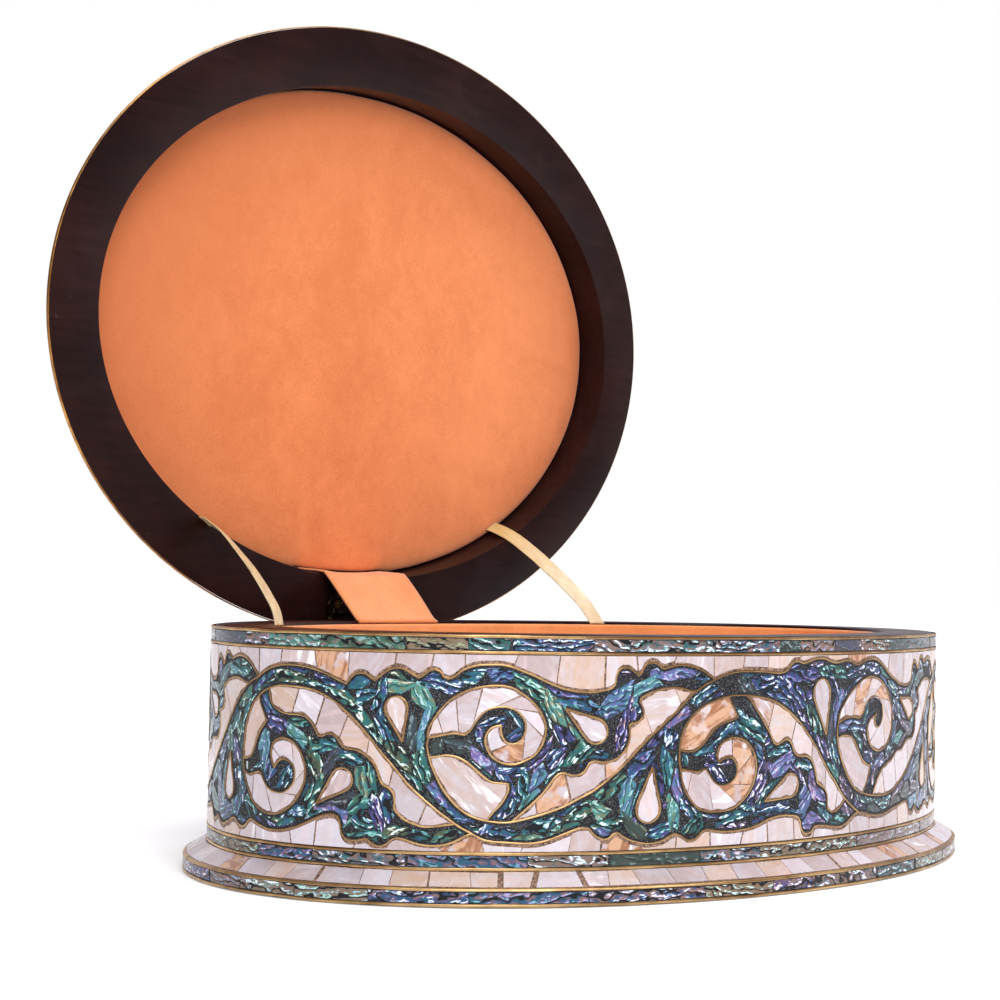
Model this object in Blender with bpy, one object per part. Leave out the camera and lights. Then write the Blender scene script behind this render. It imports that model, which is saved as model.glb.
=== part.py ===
"""An oval inlaid jewelry box, standing open, with its lid hinged at the back.

Metres, +Z up. The box stands on its foot at z = 0, its length lies along X and its hinge is at the back, at +Y.
"""

import math

import bmesh
import bpy
from mathutils import Vector

# The oval body
LENGTH = 0.300
WIDTH = 0.202
HEIGHT = 0.075
WALL = 0.0184
FLOOR = 0.008

# The foot: an upright edge with a bevel above it
FOOT_REACH = 0.0072
FOOT_EDGE_TOP = 0.0051
FOOT_BEVEL_TOP = 0.0093

# Shell inlay and the brass wires between its bands
SHELL_THICK = 0.0012
WIRE_WIDE = 0.0009
WIRE_PROUD = 0.0003
RIM_BAND = 0.0030
FOOT_TOP_BAND = 0.0028
RIM_MARGIN = 0.0002

# The lid
LID_OVERHANG = 0.0085
LID_RING = 0.021
LID_RECESS = 0.0145
LID_EDGE = 0.0011
LID_RISE = 0.0270
LID_SHOULDER = 0.0427
LID_ROUNDNESS = 1.6
LID_CROWN = 0.002
LID_CROWN_REACH = 0.040
LID_BORDER = 0.0134
LID_SHELL_DROP = 0.0014
LID_WOOD_DROP = 0.0018
OPEN_ANGLE = math.radians(86.3)

# The linings
LINING_THICK = 0.0015
FLOOR_PAD_THICK = 0.003
FLOOR_PAD_EDGE = 0.003
FLOOR_PAD_CROWN = 0.001
LID_PAD_THICK = 0.0027
LID_PAD_CROWN = 0.001
LID_PAD_EDGE = 0.004
LID_PAD_GAP = 0.0018

# The hinge
HINGE_WIDE = 0.036
HINGE_SHIFT = -0.0035
LEAF_THICK = 0.001
LEAF_DEEP = 0.0068
BARREL_RADIUS = 0.0017
PIN_RADIUS = 0.0006
PIN_CLEARANCE = 0.00035
HINGE_BEHIND = 0.0023
SCREW_HEAD = 0.0015
SCREW_SHANK = 0.0007
SCREW_LENGTH = 0.0065
SCREW_PLACE = 0.347

# The ribbons and the flap over the hinge
RIBBON_WIDE = 0.006
RIBBON_THICK = 0.0004
FLAP_WIDE = 0.044
FLAP_THICK = 0.0008
FLAP_CLEAR = 0.0006
FLAP_STEPS = 6

# Each ribbon's place at the lid and at the wall, as shares of half the length, then how far it stands
# off the recess's wall, and its bow: (share of its run, rise above a straight line as a share of that line)
RIBBON_LEFT_PLACES = (-0.567, -0.593)
RIBBON_LEFT_CLEAR = 0.0020
RIBBON_LEFT_BOW = [(0.25, 0.066), (0.46, 0.097), (0.63, 0.104), (0.81, 0.089), (0.94, 0.043)]
RIBBON_RIGHT_PLACES = (0.548, 0.579)
RIBBON_RIGHT_CLEAR = 0.0031
RIBBON_RIGHT_BOW = [(0.12, 0.034), (0.31, 0.048), (0.50, 0.057), (0.72, 0.041), (0.90, 0.012)]
RIBBON_CORNER = 0.0030

GAP = 0.0003
SIDES = 44
SMALL_SIDES = 12
WOOD_STEPS = 5
BORDER_STEPS = 2
DOME_STEPS = 3
CUT_PAST = 0.002

# What follows from the sizes above
HINGE_Y = WIDTH / 2 + HINGE_BEHIND
HINGE_Z = HEIGHT + GAP / 2
WOOD_INSET = SHELL_THICK + GAP
RIM_WIRE_TOP = HEIGHT - RIM_MARGIN
LID_INNER = LID_OVERHANG - LID_RING


def clear_scene():
    for piece in list(bpy.data.objects):
        bpy.data.objects.remove(piece, do_unlink=True)


def material(name, colour, roughness, metallic=0.0):
    """One plain Principled material."""
    made = bpy.data.materials.new(name)
    made.use_nodes = True
    shader = made.node_tree.nodes["Principled BSDF"]
    shader.inputs["Base Color"].default_value = (*colour, 1.0)
    shader.inputs["Roughness"].default_value = roughness
    shader.inputs["Metallic"].default_value = metallic
    return made


def finish(name, work, surface, parent=None, sharp=30):
    """Turn a bmesh into a named object with one material, smooth shaded between its sharp edges."""
    bmesh.ops.recalc_face_normals(work, faces=work.faces)
    mesh = bpy.data.meshes.new(name)
    work.to_mesh(mesh)
    work.free()
    mesh.materials.append(surface)
    mesh.shade_smooth()
    mesh.set_sharp_from_angle(angle=math.radians(sharp))
    piece = bpy.data.objects.new(name, mesh)
    bpy.context.collection.objects.link(piece)
    piece.parent = parent
    return piece


def oval_ring(work, offset, height, centre=(0.0, 0.0)):
    """A ring of points on the body's oval, moved outward by an offset."""
    ring = []
    for step in range(SIDES):
        angle = 2 * math.pi * step / SIDES
        x = (LENGTH / 2 + offset) * math.cos(angle) - centre[0]
        y = (WIDTH / 2 + offset) * math.sin(angle) - centre[1]
        ring.append(work.verts.new((x, y, height)))
    return ring


def join_rings(work, lower, upper):
    """A band of four-sided faces between two rings."""
    count = len(lower)
    for step in range(count):
        after = (step + 1) % count
        work.faces.new((lower[step], lower[after], upper[after], upper[step]))


def oval_band(name, profile, surface, parent=None, centre=(0.0, 0.0)):
    """A closed hoop: the profile's (offset, height) corners, swept round the oval."""
    work = bmesh.new()
    rings = [oval_ring(work, offset, height, centre) for offset, height in profile]
    for index, ring in enumerate(rings):
        join_rings(work, ring, rings[(index + 1) % len(rings)])
    return finish(name, work, surface, parent)


def oval_solid(name, profile, surface, parent=None, centre=(0.0, 0.0)):
    """A solid swept round the oval whose first and last ring are closed by flat faces."""
    work = bmesh.new()
    rings = [oval_ring(work, offset, height, centre) for offset, height in profile]
    for lower, upper in zip(rings, rings[1:]):
        join_rings(work, lower, upper)
    work.faces.new(rings[0])
    work.faces.new(rings[-1])
    return finish(name, work, surface, parent)


def upright_band(name, bottom, top, outer, thick, surface):
    """A hoop with an upright rectangular section."""
    inner = outer - thick
    profile = [(inner, bottom), (outer, bottom), (outer, top), (inner, top)]
    return oval_band(name, profile, surface)


def box_shape(name, low, high, surface=None, parent=None):
    """A rectangular block between two corners."""
    work = bmesh.new()
    bmesh.ops.create_cube(work, size=1.0)
    for vert in work.verts:
        for axis in range(3):
            middle = (low[axis] + high[axis]) / 2
            vert.co[axis] = middle + vert.co[axis] * (high[axis] - low[axis])
    return finish(name, work, surface, parent)


def rod_along_x(name, start, end, y, z, radius, surface=None, parent=None):
    """A round rod from x = start to x = end."""
    work = bmesh.new()
    rings = []
    for x in (start, end):
        ring = []
        for step in range(SMALL_SIDES):
            angle = 2 * math.pi * (step + 0.5) / SMALL_SIDES
            ring.append(work.verts.new((x, y + radius * math.cos(angle), z + radius * math.sin(angle))))
        rings.append(ring)
    join_rings(work, rings[0], rings[1])
    work.faces.new(rings[0])
    work.faces.new(rings[1])
    return finish(name, work, surface, parent)


def turned_along_z(name, x, y, profile, surface=None, parent=None):
    """A small turned solid about an upright axis, from its (radius, height) corners."""
    work = bmesh.new()
    rings = []
    for radius, height in profile:
        ring = []
        for step in range(SMALL_SIDES):
            angle = 2 * math.pi * step / SMALL_SIDES
            ring.append(work.verts.new((x + radius * math.cos(angle), y + radius * math.sin(angle), height)))
        rings.append(ring)
    for lower, upper in zip(rings, rings[1:]):
        join_rings(work, lower, upper)
    work.faces.new(rings[0])
    work.faces.new(rings[-1])
    return finish(name, work, surface, parent)


def combine(target, tool, operation):
    """Apply a Boolean of another object to the target, and remove that object."""
    modifier = target.modifiers.new(operation.lower(), "BOOLEAN")
    modifier.operation = operation
    modifier.solver = "EXACT"
    modifier.object = tool
    bpy.context.view_layer.update()
    graph = bpy.context.evaluated_depsgraph_get()
    mesh = bpy.data.meshes.new_from_object(target.evaluated_get(graph))
    target.modifiers.clear()
    old = target.data
    target.data = mesh
    bpy.data.meshes.remove(old)
    bpy.data.objects.remove(tool, do_unlink=True)
    mesh.shade_smooth()
    mesh.set_sharp_from_angle(angle=math.radians(30))


def smooth_route(points, spacing):
    """Points about one spacing apart on a smooth curve through the route's own points."""
    known = [Vector(point) for point in points]
    padded = [2 * known[0] - known[1]] + known + [2 * known[-1] - known[-2]]
    route = []
    for before, start, end, after in zip(padded, padded[1:], padded[2:], padded[3:]):
        steps = max(1, round((end - start).length / spacing))
        for step in range(steps):
            t = step / steps
            route.append(0.5 * (
                2 * start + (end - before) * t
                + (2 * before - 5 * start + 4 * end - after) * t * t
                + (3 * start - before - 3 * end + after) * t * t * t
            ))
    route.append(known[-1])
    return route


def sheet(name, rows, thick, surface):
    """A thin closed sheet through rows of points, with its thickness split to both sides."""
    work = bmesh.new()
    grid = [[work.verts.new(point) for point in row] for row in rows]
    for lower, upper in zip(grid, grid[1:]):
        for column in range(len(lower) - 1):
            work.faces.new((lower[column], lower[column + 1], upper[column + 1], upper[column]))
    piece = finish(name, work, surface)
    solidify = piece.modifiers.new("thickness", "SOLIDIFY")
    solidify.thickness = thick
    solidify.offset = 0.0
    solidify.use_even_offset = True
    return piece


def make_body(wood):
    """The wooden oval carcass with its floor and bevelled foot, hollow and open at the top."""
    foot = FOOT_REACH - WOOD_INSET
    profile = [
        (foot, 0.0),
        (foot, FOOT_EDGE_TOP - GAP),
        (-WOOD_INSET, FOOT_BEVEL_TOP - GAP),
        (-WOOD_INSET, HEIGHT),
        (-WALL, HEIGHT),
        (-WALL, FLOOR),
    ]
    return oval_solid("box_carcass", profile, wood)


def body_wire(name, bottom, surface, offset=0.0):
    """One brass wire hoop, let into the wood and standing a little proud."""
    thick = SHELL_THICK + WIRE_PROUD
    return upright_band(name, bottom, bottom + WIRE_WIDE, offset + WIRE_PROUD, thick, surface)


def make_body_inlay(brass, pearl, abalone):
    """The stack of shell bands and brass wires from the rim down to the foot."""
    rim_wire = body_wire("wire_rim", RIM_WIRE_TOP - WIRE_WIDE, brass)
    level = RIM_WIRE_TOP - WIRE_WIDE - GAP
    upright_band("abalone_rim_band", level - RIM_BAND, level, 0.0, SHELL_THICK, abalone)
    level -= RIM_BAND + GAP
    body_wire("wire_field_top", level - WIRE_WIDE, brass)
    field_top = level - WIRE_WIDE - GAP

    level = FOOT_BEVEL_TOP
    body_wire("wire_foot_top", level, brass)
    level += WIRE_WIDE + GAP
    upright_band("abalone_foot_top_band", level, level + FOOT_TOP_BAND, 0.0, SHELL_THICK, abalone)
    level += FOOT_TOP_BAND + GAP
    body_wire("wire_field_bottom", level, brass)
    field_bottom = level + WIRE_WIDE + GAP
    upright_band("pearl_vine_field", field_bottom, field_top, 0.0, SHELL_THICK, pearl)

    body_wire("wire_base", GAP, brass, FOOT_REACH)
    edge_wire_bottom = FOOT_EDGE_TOP - WIRE_WIDE / 2
    strip_bottom = WIRE_WIDE + 2 * GAP
    upright_band(
        "abalone_foot_band", strip_bottom, edge_wire_bottom - GAP, FOOT_REACH, SHELL_THICK, abalone
    )
    body_wire("wire_foot_edge", edge_wire_bottom, brass, FOOT_REACH)
    bevel_bottom = edge_wire_bottom + WIRE_WIDE + GAP
    bevel_top = FOOT_BEVEL_TOP - GAP
    slope = FOOT_REACH / (FOOT_BEVEL_TOP - FOOT_EDGE_TOP)
    bevel_low_out = FOOT_REACH - (bevel_bottom - FOOT_EDGE_TOP) * slope
    bevel_high_out = FOOT_REACH - (bevel_top - FOOT_EDGE_TOP) * slope
    profile = [
        (bevel_low_out - SHELL_THICK, bevel_bottom),
        (bevel_low_out, bevel_bottom),
        (bevel_high_out, bevel_top),
        (bevel_high_out - SHELL_THICK, bevel_top),
    ]
    oval_band("pearl_foot_band", profile, pearl)
    return rim_wire


def make_body_lining(suede):
    """The suede on the inside of the wall, and the padded floor."""
    outer = -WALL - GAP
    inner = outer - LINING_THICK
    bottom = FLOOR + GAP
    upright_band("wall_lining", bottom, HEIGHT - GAP, outer, LINING_THICK, suede)
    edge = inner - GAP
    pad_top = bottom + FLOOR_PAD_THICK
    profile = [
        (edge, bottom),
        (edge, pad_top - FLOOR_PAD_CROWN),
        (edge - FLOOR_PAD_EDGE, pad_top),
    ]
    oval_solid("floor_pad", profile, suede)


def lid_height(inward):
    """The height of the lid's outer face above its ring face, at a distance inward from its edge."""
    share = min(1.0, inward / LID_SHOULDER)
    return LID_EDGE + LID_RISE * (1 - (1 - share) ** LID_ROUNDNESS)


def lid_profile(start, end, drop, steps):
    """Corners of the lid's outer face from one distance inward to another, lowered by a drop."""
    corners = []
    for step in range(steps + 1):
        inward = start + (end - start) * step / steps
        corners.append((LID_OVERHANG - inward, lid_height(inward) - drop))
    return corners


def lid_piece(maker, name, profile, surface, axis):
    """A lid piece from closed-lid heights above the ring face, hung on the hinge's axis."""
    raised = [(offset, height + GAP / 2) for offset, height in profile]
    return maker(name, raised, surface, axis, (0.0, HINGE_Y))


def make_lid(wood, brass, pearl, suede, axis):
    """The domed wooden lid with its recess, shell, wires and pad, made closed about the hinge's axis."""
    edge = WIRE_WIDE + GAP
    flat = LID_SHOULDER
    top_offset = LID_OVERHANG - LID_SHOULDER - LID_CROWN_REACH
    crown = lid_height(flat) + LID_CROWN
    wood_face = lid_profile(edge, flat, LID_WOOD_DROP, WOOD_STEPS)
    wood_profile = [(LID_INNER, LID_RECESS), (LID_INNER, 0.0), (LID_OVERHANG - edge, 0.0)]
    wood_profile += wood_face + [(top_offset, crown - LID_WOOD_DROP)]
    wooden = lid_piece(oval_solid, "lid_panel", wood_profile, wood, axis)

    wire_inner = LID_OVERHANG - WIRE_WIDE
    wire = [(wire_inner, 0.0), (LID_OVERHANG, 0.0), (LID_OVERHANG, LID_EDGE), (wire_inner, LID_EDGE)]
    lid_piece(oval_band, "wire_lid_edge", wire, brass, axis)

    border_end = edge + LID_BORDER
    border = lid_profile(edge, border_end, LID_SHELL_DROP, BORDER_STEPS)
    border += reversed(lid_profile(edge, border_end, 0.0, BORDER_STEPS))
    lid_piece(oval_band, "pearl_lid_border", border, pearl, axis)

    wire_start = border_end + GAP
    wire_end = wire_start + WIRE_WIDE
    inner_wire = lid_profile(wire_start, wire_end, LID_SHELL_DROP, 1)
    inner_wire += reversed(lid_profile(wire_start, wire_end, -WIRE_PROUD, 1))
    lid_piece(oval_band, "wire_lid_inner", inner_wire, brass, axis)

    dome_start = wire_end + GAP
    dome = [(top_offset, crown - LID_SHELL_DROP)]
    dome += reversed(lid_profile(dome_start, flat, LID_SHELL_DROP, DOME_STEPS))
    dome += lid_profile(dome_start, flat, 0.0, DOME_STEPS)
    dome.append((top_offset, crown))
    lid_piece(oval_solid, "pearl_lid_top", dome, pearl, axis)

    pad_edge = LID_INNER - LID_PAD_GAP
    pad_back = LID_RECESS - GAP
    pad_front = pad_back - LID_PAD_THICK
    pad = [
        (pad_edge - LID_PAD_EDGE, pad_front),
        (pad_edge, pad_front + LID_PAD_CROWN),
        (pad_edge, pad_back),
    ]
    lid_piece(oval_solid, "lid_pad", pad, suede, axis)
    return wooden


def make_hinge(brass, carcass, rim_wire, wooden, axis):
    """The butt hinge: two leaves let into the rim and the lid, three knuckles, a pin and four screws."""
    low = HINGE_SHIFT - HINGE_WIDE / 2
    high = HINGE_SHIFT + HINGE_WIDE / 2
    third = HINGE_WIDE / 3
    knuckles = [(low, low + third - GAP), (low + third, high - third), (high - third + GAP, high)]
    bore = PIN_RADIUS + PIN_CLEARANCE
    clear = BARREL_RADIUS + GAP
    leaf_front = HINGE_Y - clear - LEAF_DEEP
    leaf_bottom = HEIGHT - LEAF_THICK

    box_leaf = box_shape(
        "hinge_leaf_box", (low, leaf_front, leaf_bottom), (high, HINGE_Y - clear, HEIGHT), brass
    )
    for start, end in (knuckles[0], knuckles[2]):
        tab = box_shape("tab", (start, HINGE_Y - clear - GAP, leaf_bottom), (end, HINGE_Y, HEIGHT))
        combine(box_leaf, tab, "UNION")
        barrel = rod_along_x("barrel", start, end, HINGE_Y, HINGE_Z, BARREL_RADIUS)
        combine(box_leaf, barrel, "UNION")
    hole = rod_along_x("bore", low - CUT_PAST, high + CUT_PAST, HINGE_Y, HINGE_Z, bore)
    combine(box_leaf, hole, "DIFFERENCE")

    start, end = knuckles[1]
    face = GAP / 2
    lid_leaf = box_shape(
        "hinge_leaf_lid", (low, -clear - LEAF_DEEP, face), (high, -clear, face + LEAF_THICK), brass, axis
    )
    tab = box_shape("tab", (start, -clear - GAP, face), (end, 0.0, face + LEAF_THICK), None, axis)
    combine(lid_leaf, tab, "UNION")
    barrel = rod_along_x("barrel", start, end, 0.0, 0.0, BARREL_RADIUS, None, axis)
    combine(lid_leaf, barrel, "UNION")
    hole = rod_along_x("bore", low - CUT_PAST, high + CUT_PAST, 0.0, 0.0, bore, None, axis)
    combine(lid_leaf, hole, "DIFFERENCE")

    rod_along_x("hinge_pin", low, high, HINGE_Y, HINGE_Z, PIN_RADIUS, brass)

    pocket = box_shape(
        "pocket",
        (low - GAP, leaf_front - GAP, leaf_bottom - GAP),
        (high + GAP, HINGE_Y, HEIGHT + CUT_PAST),
    )
    combine(carcass, pocket, "DIFFERENCE")
    notch = box_shape(
        "notch",
        (low - GAP, leaf_front, leaf_bottom - 2 * GAP),
        (high + GAP, HINGE_Y, HEIGHT + CUT_PAST),
    )
    combine(rim_wire, notch, "DIFFERENCE")
    pocket = box_shape(
        "pocket",
        (low - GAP, -clear - LEAF_DEEP - GAP, -CUT_PAST),
        (high + GAP, 0.0, face + LEAF_THICK + GAP),
        None,
        axis,
    )
    combine(wooden, pocket, "DIFFERENCE")
    groove = rod_along_x("groove", low - GAP, high + GAP, 0.0, 0.0, clear + GAP, None, axis)
    combine(wooden, groove, "DIFFERENCE")

    screw_in = clear + LEAF_DEEP / 2
    for side in (-1, 1):
        x = HINGE_SHIFT + side * SCREW_PLACE * HINGE_WIDE
        label = "left" if side < 0 else "right"
        fit_screw("hinge_screw_box_" + label, x, HINGE_Y - screw_in, HEIGHT, -1, brass, box_leaf, carcass, None)
        fit_screw("hinge_screw_lid_" + label, x, -screw_in, face, 1, brass, lid_leaf, wooden, axis)


def fit_screw(name, x, y, face, way, brass, leaf, timber, axis):
    """A countersunk screw whose head is flush with the leaf, in holes with a clearance."""
    def shape(title, head, shank, past, surface=None):
        depth = LEAF_THICK - 2 * GAP
        profile = [
            (head, face - way * past),
            (shank, face + way * depth),
            (shank, face + way * (SCREW_LENGTH + past)),
        ]
        return turned_along_z(title, x, y, profile, surface, axis)

    combine(leaf, shape("hole", SCREW_HEAD + 2 * GAP, SCREW_SHANK + GAP, GAP), "DIFFERENCE")
    combine(timber, shape("hole", SCREW_HEAD + 2 * GAP, SCREW_SHANK + GAP, GAP), "DIFFERENCE")
    shape(name, SCREW_HEAD, SCREW_SHANK, 0.0, brass)


def lid_point(inward, height):
    """(y, z) of a point of the open lid: its distance forward of the hinge, and above the ring face."""
    raised = height + GAP / 2
    y = HINGE_Y - inward * math.cos(OPEN_ANGLE) + raised * math.sin(OPEN_ANGLE)
    z = HINGE_Z + inward * math.sin(OPEN_ANGLE) + raised * math.cos(OPEN_ANGLE)
    return y, z


def oval_depth(offset, x):
    """How far an offset oval reaches towards the back at a place along its length."""
    return (WIDTH / 2 + offset) * math.sqrt(1 - (x / (LENGTH / 2 + offset)) ** 2)


def ribbon_route(places, clear, bow):
    """A ribbon's points, from beside the lid's pad, out past the recess's corner and down to the wall's lining."""
    at_lid, at_wall = (LENGTH / 2 * place for place in places)
    inward = HINGE_Y - oval_depth(LID_INNER, at_lid) + clear
    tucked = lid_point(inward, LID_RECESS - GAP - LID_PAD_THICK)
    corner = lid_point(inward, RIBBON_CORNER)
    top = Vector((at_lid, *corner))
    foot = Vector((at_wall, oval_depth(-WALL - GAP - LINING_THICK / 2, at_wall), HEIGHT + GAP))
    points = [Vector((at_lid, *tucked)), top]
    for share, rise in bow:
        points.append(top.lerp(foot, share) + Vector((0.0, 0.0, rise * (foot - top).length)))
    return points + [foot]


def make_ribbon(name, points, satin):
    """One satin stay, whose width lies along the wall at both ends, so it turns with the lid between them."""
    route = smooth_route(points, 0.8 * RIBBON_WIDE)
    x, y, _ = route[-1]
    slope = -(x * (WIDTH / 2 - WALL) ** 2) / (y * (LENGTH / 2 - WALL) ** 2)
    along_x = RIBBON_WIDE / 2 / math.hypot(1, slope)
    rows = []
    for index, point in enumerate(route):
        turn = OPEN_ANGLE * (1 - index / (len(route) - 1))
        side = Vector((along_x, slope * along_x * math.cos(turn), -slope * along_x * math.sin(turn)))
        rows.append([point - side, point + side])
    sheet(name, rows, RIBBON_THICK, satin)


def flap_column(x):
    """The flap's points at one place across its width, from the lid's recess to the wall's lining."""
    clear = FLAP_CLEAR + FLAP_THICK / 2
    recess = HINGE_Y - oval_depth(LID_INNER, x)
    tucked = lid_point(recess + clear, LID_RECESS - LID_PAD_THICK)
    corner = lid_point(recess + clear, 0.0)
    over = lid_point(recess, -2 * clear)
    foot = (oval_depth(-WALL - GAP - LINING_THICK / 2, x), HEIGHT + clear)
    column = [Vector((x, y, z)) for y, z in (tucked, corner, over, foot)]
    return column[:2] + [column[2].lerp(column[3], step / FLAP_STEPS) for step in range(FLAP_STEPS + 1)]


def make_flap(suede):
    """The suede flap that hides the hinge."""
    columns = []
    for step in range(FLAP_STEPS + 1):
        columns.append(flap_column(HINGE_SHIFT + FLAP_WIDE * (step / FLAP_STEPS - 0.5)))
    sheet("hinge_flap", list(zip(*columns)), FLAP_THICK, suede)


def main():
    clear_scene()
    wood = material("dark_wood", (0.045, 0.018, 0.014), 0.35)
    brass = material("brass", (0.75, 0.52, 0.22), 0.28, 1.0)
    pearl = material("mother_of_pearl", (0.82, 0.74, 0.68), 0.2)
    abalone = material("abalone", (0.05, 0.22, 0.25), 0.18)
    suede = material("orange_suede", (0.83, 0.30, 0.12), 0.95)
    satin = material("cream_satin", (0.86, 0.72, 0.50), 0.4)

    carcass = make_body(wood)
    rim_wire = make_body_inlay(brass, pearl, abalone)
    make_body_lining(suede)

    axis = bpy.data.objects.new("lid_axis", None)
    bpy.context.collection.objects.link(axis)
    axis.location = (0.0, HINGE_Y, HINGE_Z)
    axis.rotation_euler = (-OPEN_ANGLE, 0.0, 0.0)
    wooden = make_lid(wood, brass, pearl, suede, axis)
    make_hinge(brass, carcass, rim_wire, wooden, axis)
    left = ribbon_route(RIBBON_LEFT_PLACES, RIBBON_LEFT_CLEAR, RIBBON_LEFT_BOW)
    make_ribbon("ribbon_left", left, satin)
    right = ribbon_route(RIBBON_RIGHT_PLACES, RIBBON_RIGHT_CLEAR, RIBBON_RIGHT_BOW)
    make_ribbon("ribbon_right", right, satin)
    make_flap(suede)


main()
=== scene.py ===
from bisect import bisect_right
import math
import random

import bmesh
import bpy
from mathutils import Matrix, Vector, noise
from mathutils.kdtree import KDTree


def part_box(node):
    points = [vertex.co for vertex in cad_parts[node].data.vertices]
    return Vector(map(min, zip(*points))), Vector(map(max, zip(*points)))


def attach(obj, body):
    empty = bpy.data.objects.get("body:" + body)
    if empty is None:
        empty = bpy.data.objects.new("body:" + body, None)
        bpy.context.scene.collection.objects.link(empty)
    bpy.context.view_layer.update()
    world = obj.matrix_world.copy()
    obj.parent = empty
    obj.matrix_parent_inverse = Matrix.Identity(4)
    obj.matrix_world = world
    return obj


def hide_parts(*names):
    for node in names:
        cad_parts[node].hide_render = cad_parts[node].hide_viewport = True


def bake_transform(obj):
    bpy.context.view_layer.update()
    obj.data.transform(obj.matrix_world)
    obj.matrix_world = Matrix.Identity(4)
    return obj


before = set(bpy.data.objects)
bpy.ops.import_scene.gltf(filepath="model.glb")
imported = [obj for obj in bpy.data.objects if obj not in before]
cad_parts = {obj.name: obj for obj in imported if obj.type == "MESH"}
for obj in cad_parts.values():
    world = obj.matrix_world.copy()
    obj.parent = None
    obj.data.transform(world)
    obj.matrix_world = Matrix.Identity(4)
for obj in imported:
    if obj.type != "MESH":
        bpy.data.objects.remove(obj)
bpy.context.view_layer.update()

# Camera, light and floor
# The camera stands low in front of the box's left end, turned as the photograph's was. The floor is a
# plain white sheet, and the light comes evenly from all round with two large soft lamps.
CAMERA_PLACE = Vector((-0.6113, -0.4413, 0.0892))
CAMERA_YAW = 0.9019
CAMERA_PITCH = 0.0373
CAMERA_ROLL = 0.0187
CAMERA_LENS = 80.19
FLOOR_REACH = 9.0
SKY_DIM = 0.22
SKY_BRIGHT = 0.84
SKY_TINT = (0.96, 0.92, 1.0, 1.0)
SKY_BRIGHT_SIDE = (0.72, 0.58, 0.38)
SKY_DARK_TO = 0.15
SKY_WHITE_FROM = 0.75
FLOOR_WHITE = (0.93, 0.93, 0.93, 1.0)
GLOW_FROM = 0.6
GLOW_TO = 3.0
GLOW_DIM = 0.22
GLOW_BRIGHT = 0.75


class Paint:
    """A socket of a material that is being painted.

    Operators add Math nodes to it, and add() makes any other node."""

    def __init__(self, tree, socket=None):
        self.tree = tree
        self.socket = socket

    def add(self, kind, settings=None, values=None, output=0):
        """A new node with these settings, whose inputs have these values or come from other paint."""
        node = self.tree.nodes.new("ShaderNode" + kind)
        for name, value in (settings or {}).items():
            setattr(node, name, value)
        for key, value in (values or {}).items():
            if isinstance(value, Paint):
                self.tree.links.new(value.socket, node.inputs[key])
            else:
                node.inputs[key].default_value = value
        return Paint(self.tree, node.outputs[output])

    def coordinates(self):
        """Places in the object's own space."""
        return self.add("TexCoord", output=3)

    def unrolled(self):
        """Places on the piece as it was laid out flat, in millimetres."""
        return self.add("UVMap", {"uv_map": "surface"})

    def axis(self, number):
        """One part of a vector: 0 for x, 1 for y and 2 for z."""
        return self.add("SeparateXYZ", {}, {0: self}, number)

    def ramp(self, *stops):
        """A colour for each value of this, from stops of a value and a colour."""
        painted = self.add("ValToRGB", {}, {0: self})
        elements = painted.socket.node.color_ramp.elements
        while len(elements) < len(stops):
            elements.new(0.5)
        for element, (place, shade) in zip(elements, stops):
            element.position = place
            element.color = (*shade, 1.0)
        return painted

    def maths(self, operation, *others):
        return self.add("Math", {"operation": operation}, dict(enumerate((self, *others))))

    def __add__(self, other):
        return self.maths("ADD", other)

    def __sub__(self, other):
        return self.maths("SUBTRACT", other)

    def __rsub__(self, other):
        return self.maths("MULTIPLY", -1.0) + other

    def __mul__(self, other):
        return self.maths("MULTIPLY", other)

    __radd__ = __add__
    __rmul__ = __mul__

    def between(self, low, high):
        """0 below low, 1 above high and smooth between them."""
        ranges = {"Value": self, "From Min": low, "From Max": high}
        return self.add("MapRange", {"interpolation_type": "SMOOTHSTEP"}, ranges)

    def choose(self, first, second):
        """A colour from first, where this is 0, to second, where it is 1."""
        return self.add("Mix", {"data_type": "RGBA"}, {0: self, 6: first, 7: second}, 2)

    def stretched(self, scale, shift=(0.0, 0.0, 0.0)):
        return self.add("Mapping", {}, {"Vector": self, "Scale": scale, "Location": shift})

    def grain(self, scale, detail=2.0, roughness=0.5, distortion=0.0):
        """Soft noise from 0 to 1 on these coordinates."""
        values = {"Scale": scale, "Detail": detail, "Roughness": roughness, "Distortion": distortion}
        return self.add("TexNoise", {}, {"Vector": self, **values})


def colour(red, green, blue):
    return (red, green, blue, 1.0)


def new_finish(name, **plain):
    """A material whose Principled shader has these plain values, and a Paint to add its nodes with."""
    made = bpy.data.materials.new(name)
    made.use_nodes = True
    shader = made.node_tree.nodes["Principled BSDF"]
    for key, value in plain.items():
        shader.inputs[key.replace("_", " ")].default_value = value
    return made, Paint(made.node_tree)


def paint_over(made, height=None, strength=0.3, depth=0.0001, **parts):
    """Link painted sockets to a material's shader, with a bump from a height if one is given."""
    tree = made.node_tree
    shader = tree.nodes["Principled BSDF"]
    for key, value in parts.items():
        tree.links.new(value.socket, shader.inputs[key.replace("_", " ")])
    if height is not None:
        bump = height.add("Bump", {}, {"Strength": strength, "Distance": depth, "Height": height})
        tree.links.new(bump.socket, shader.inputs["Normal"])


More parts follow.
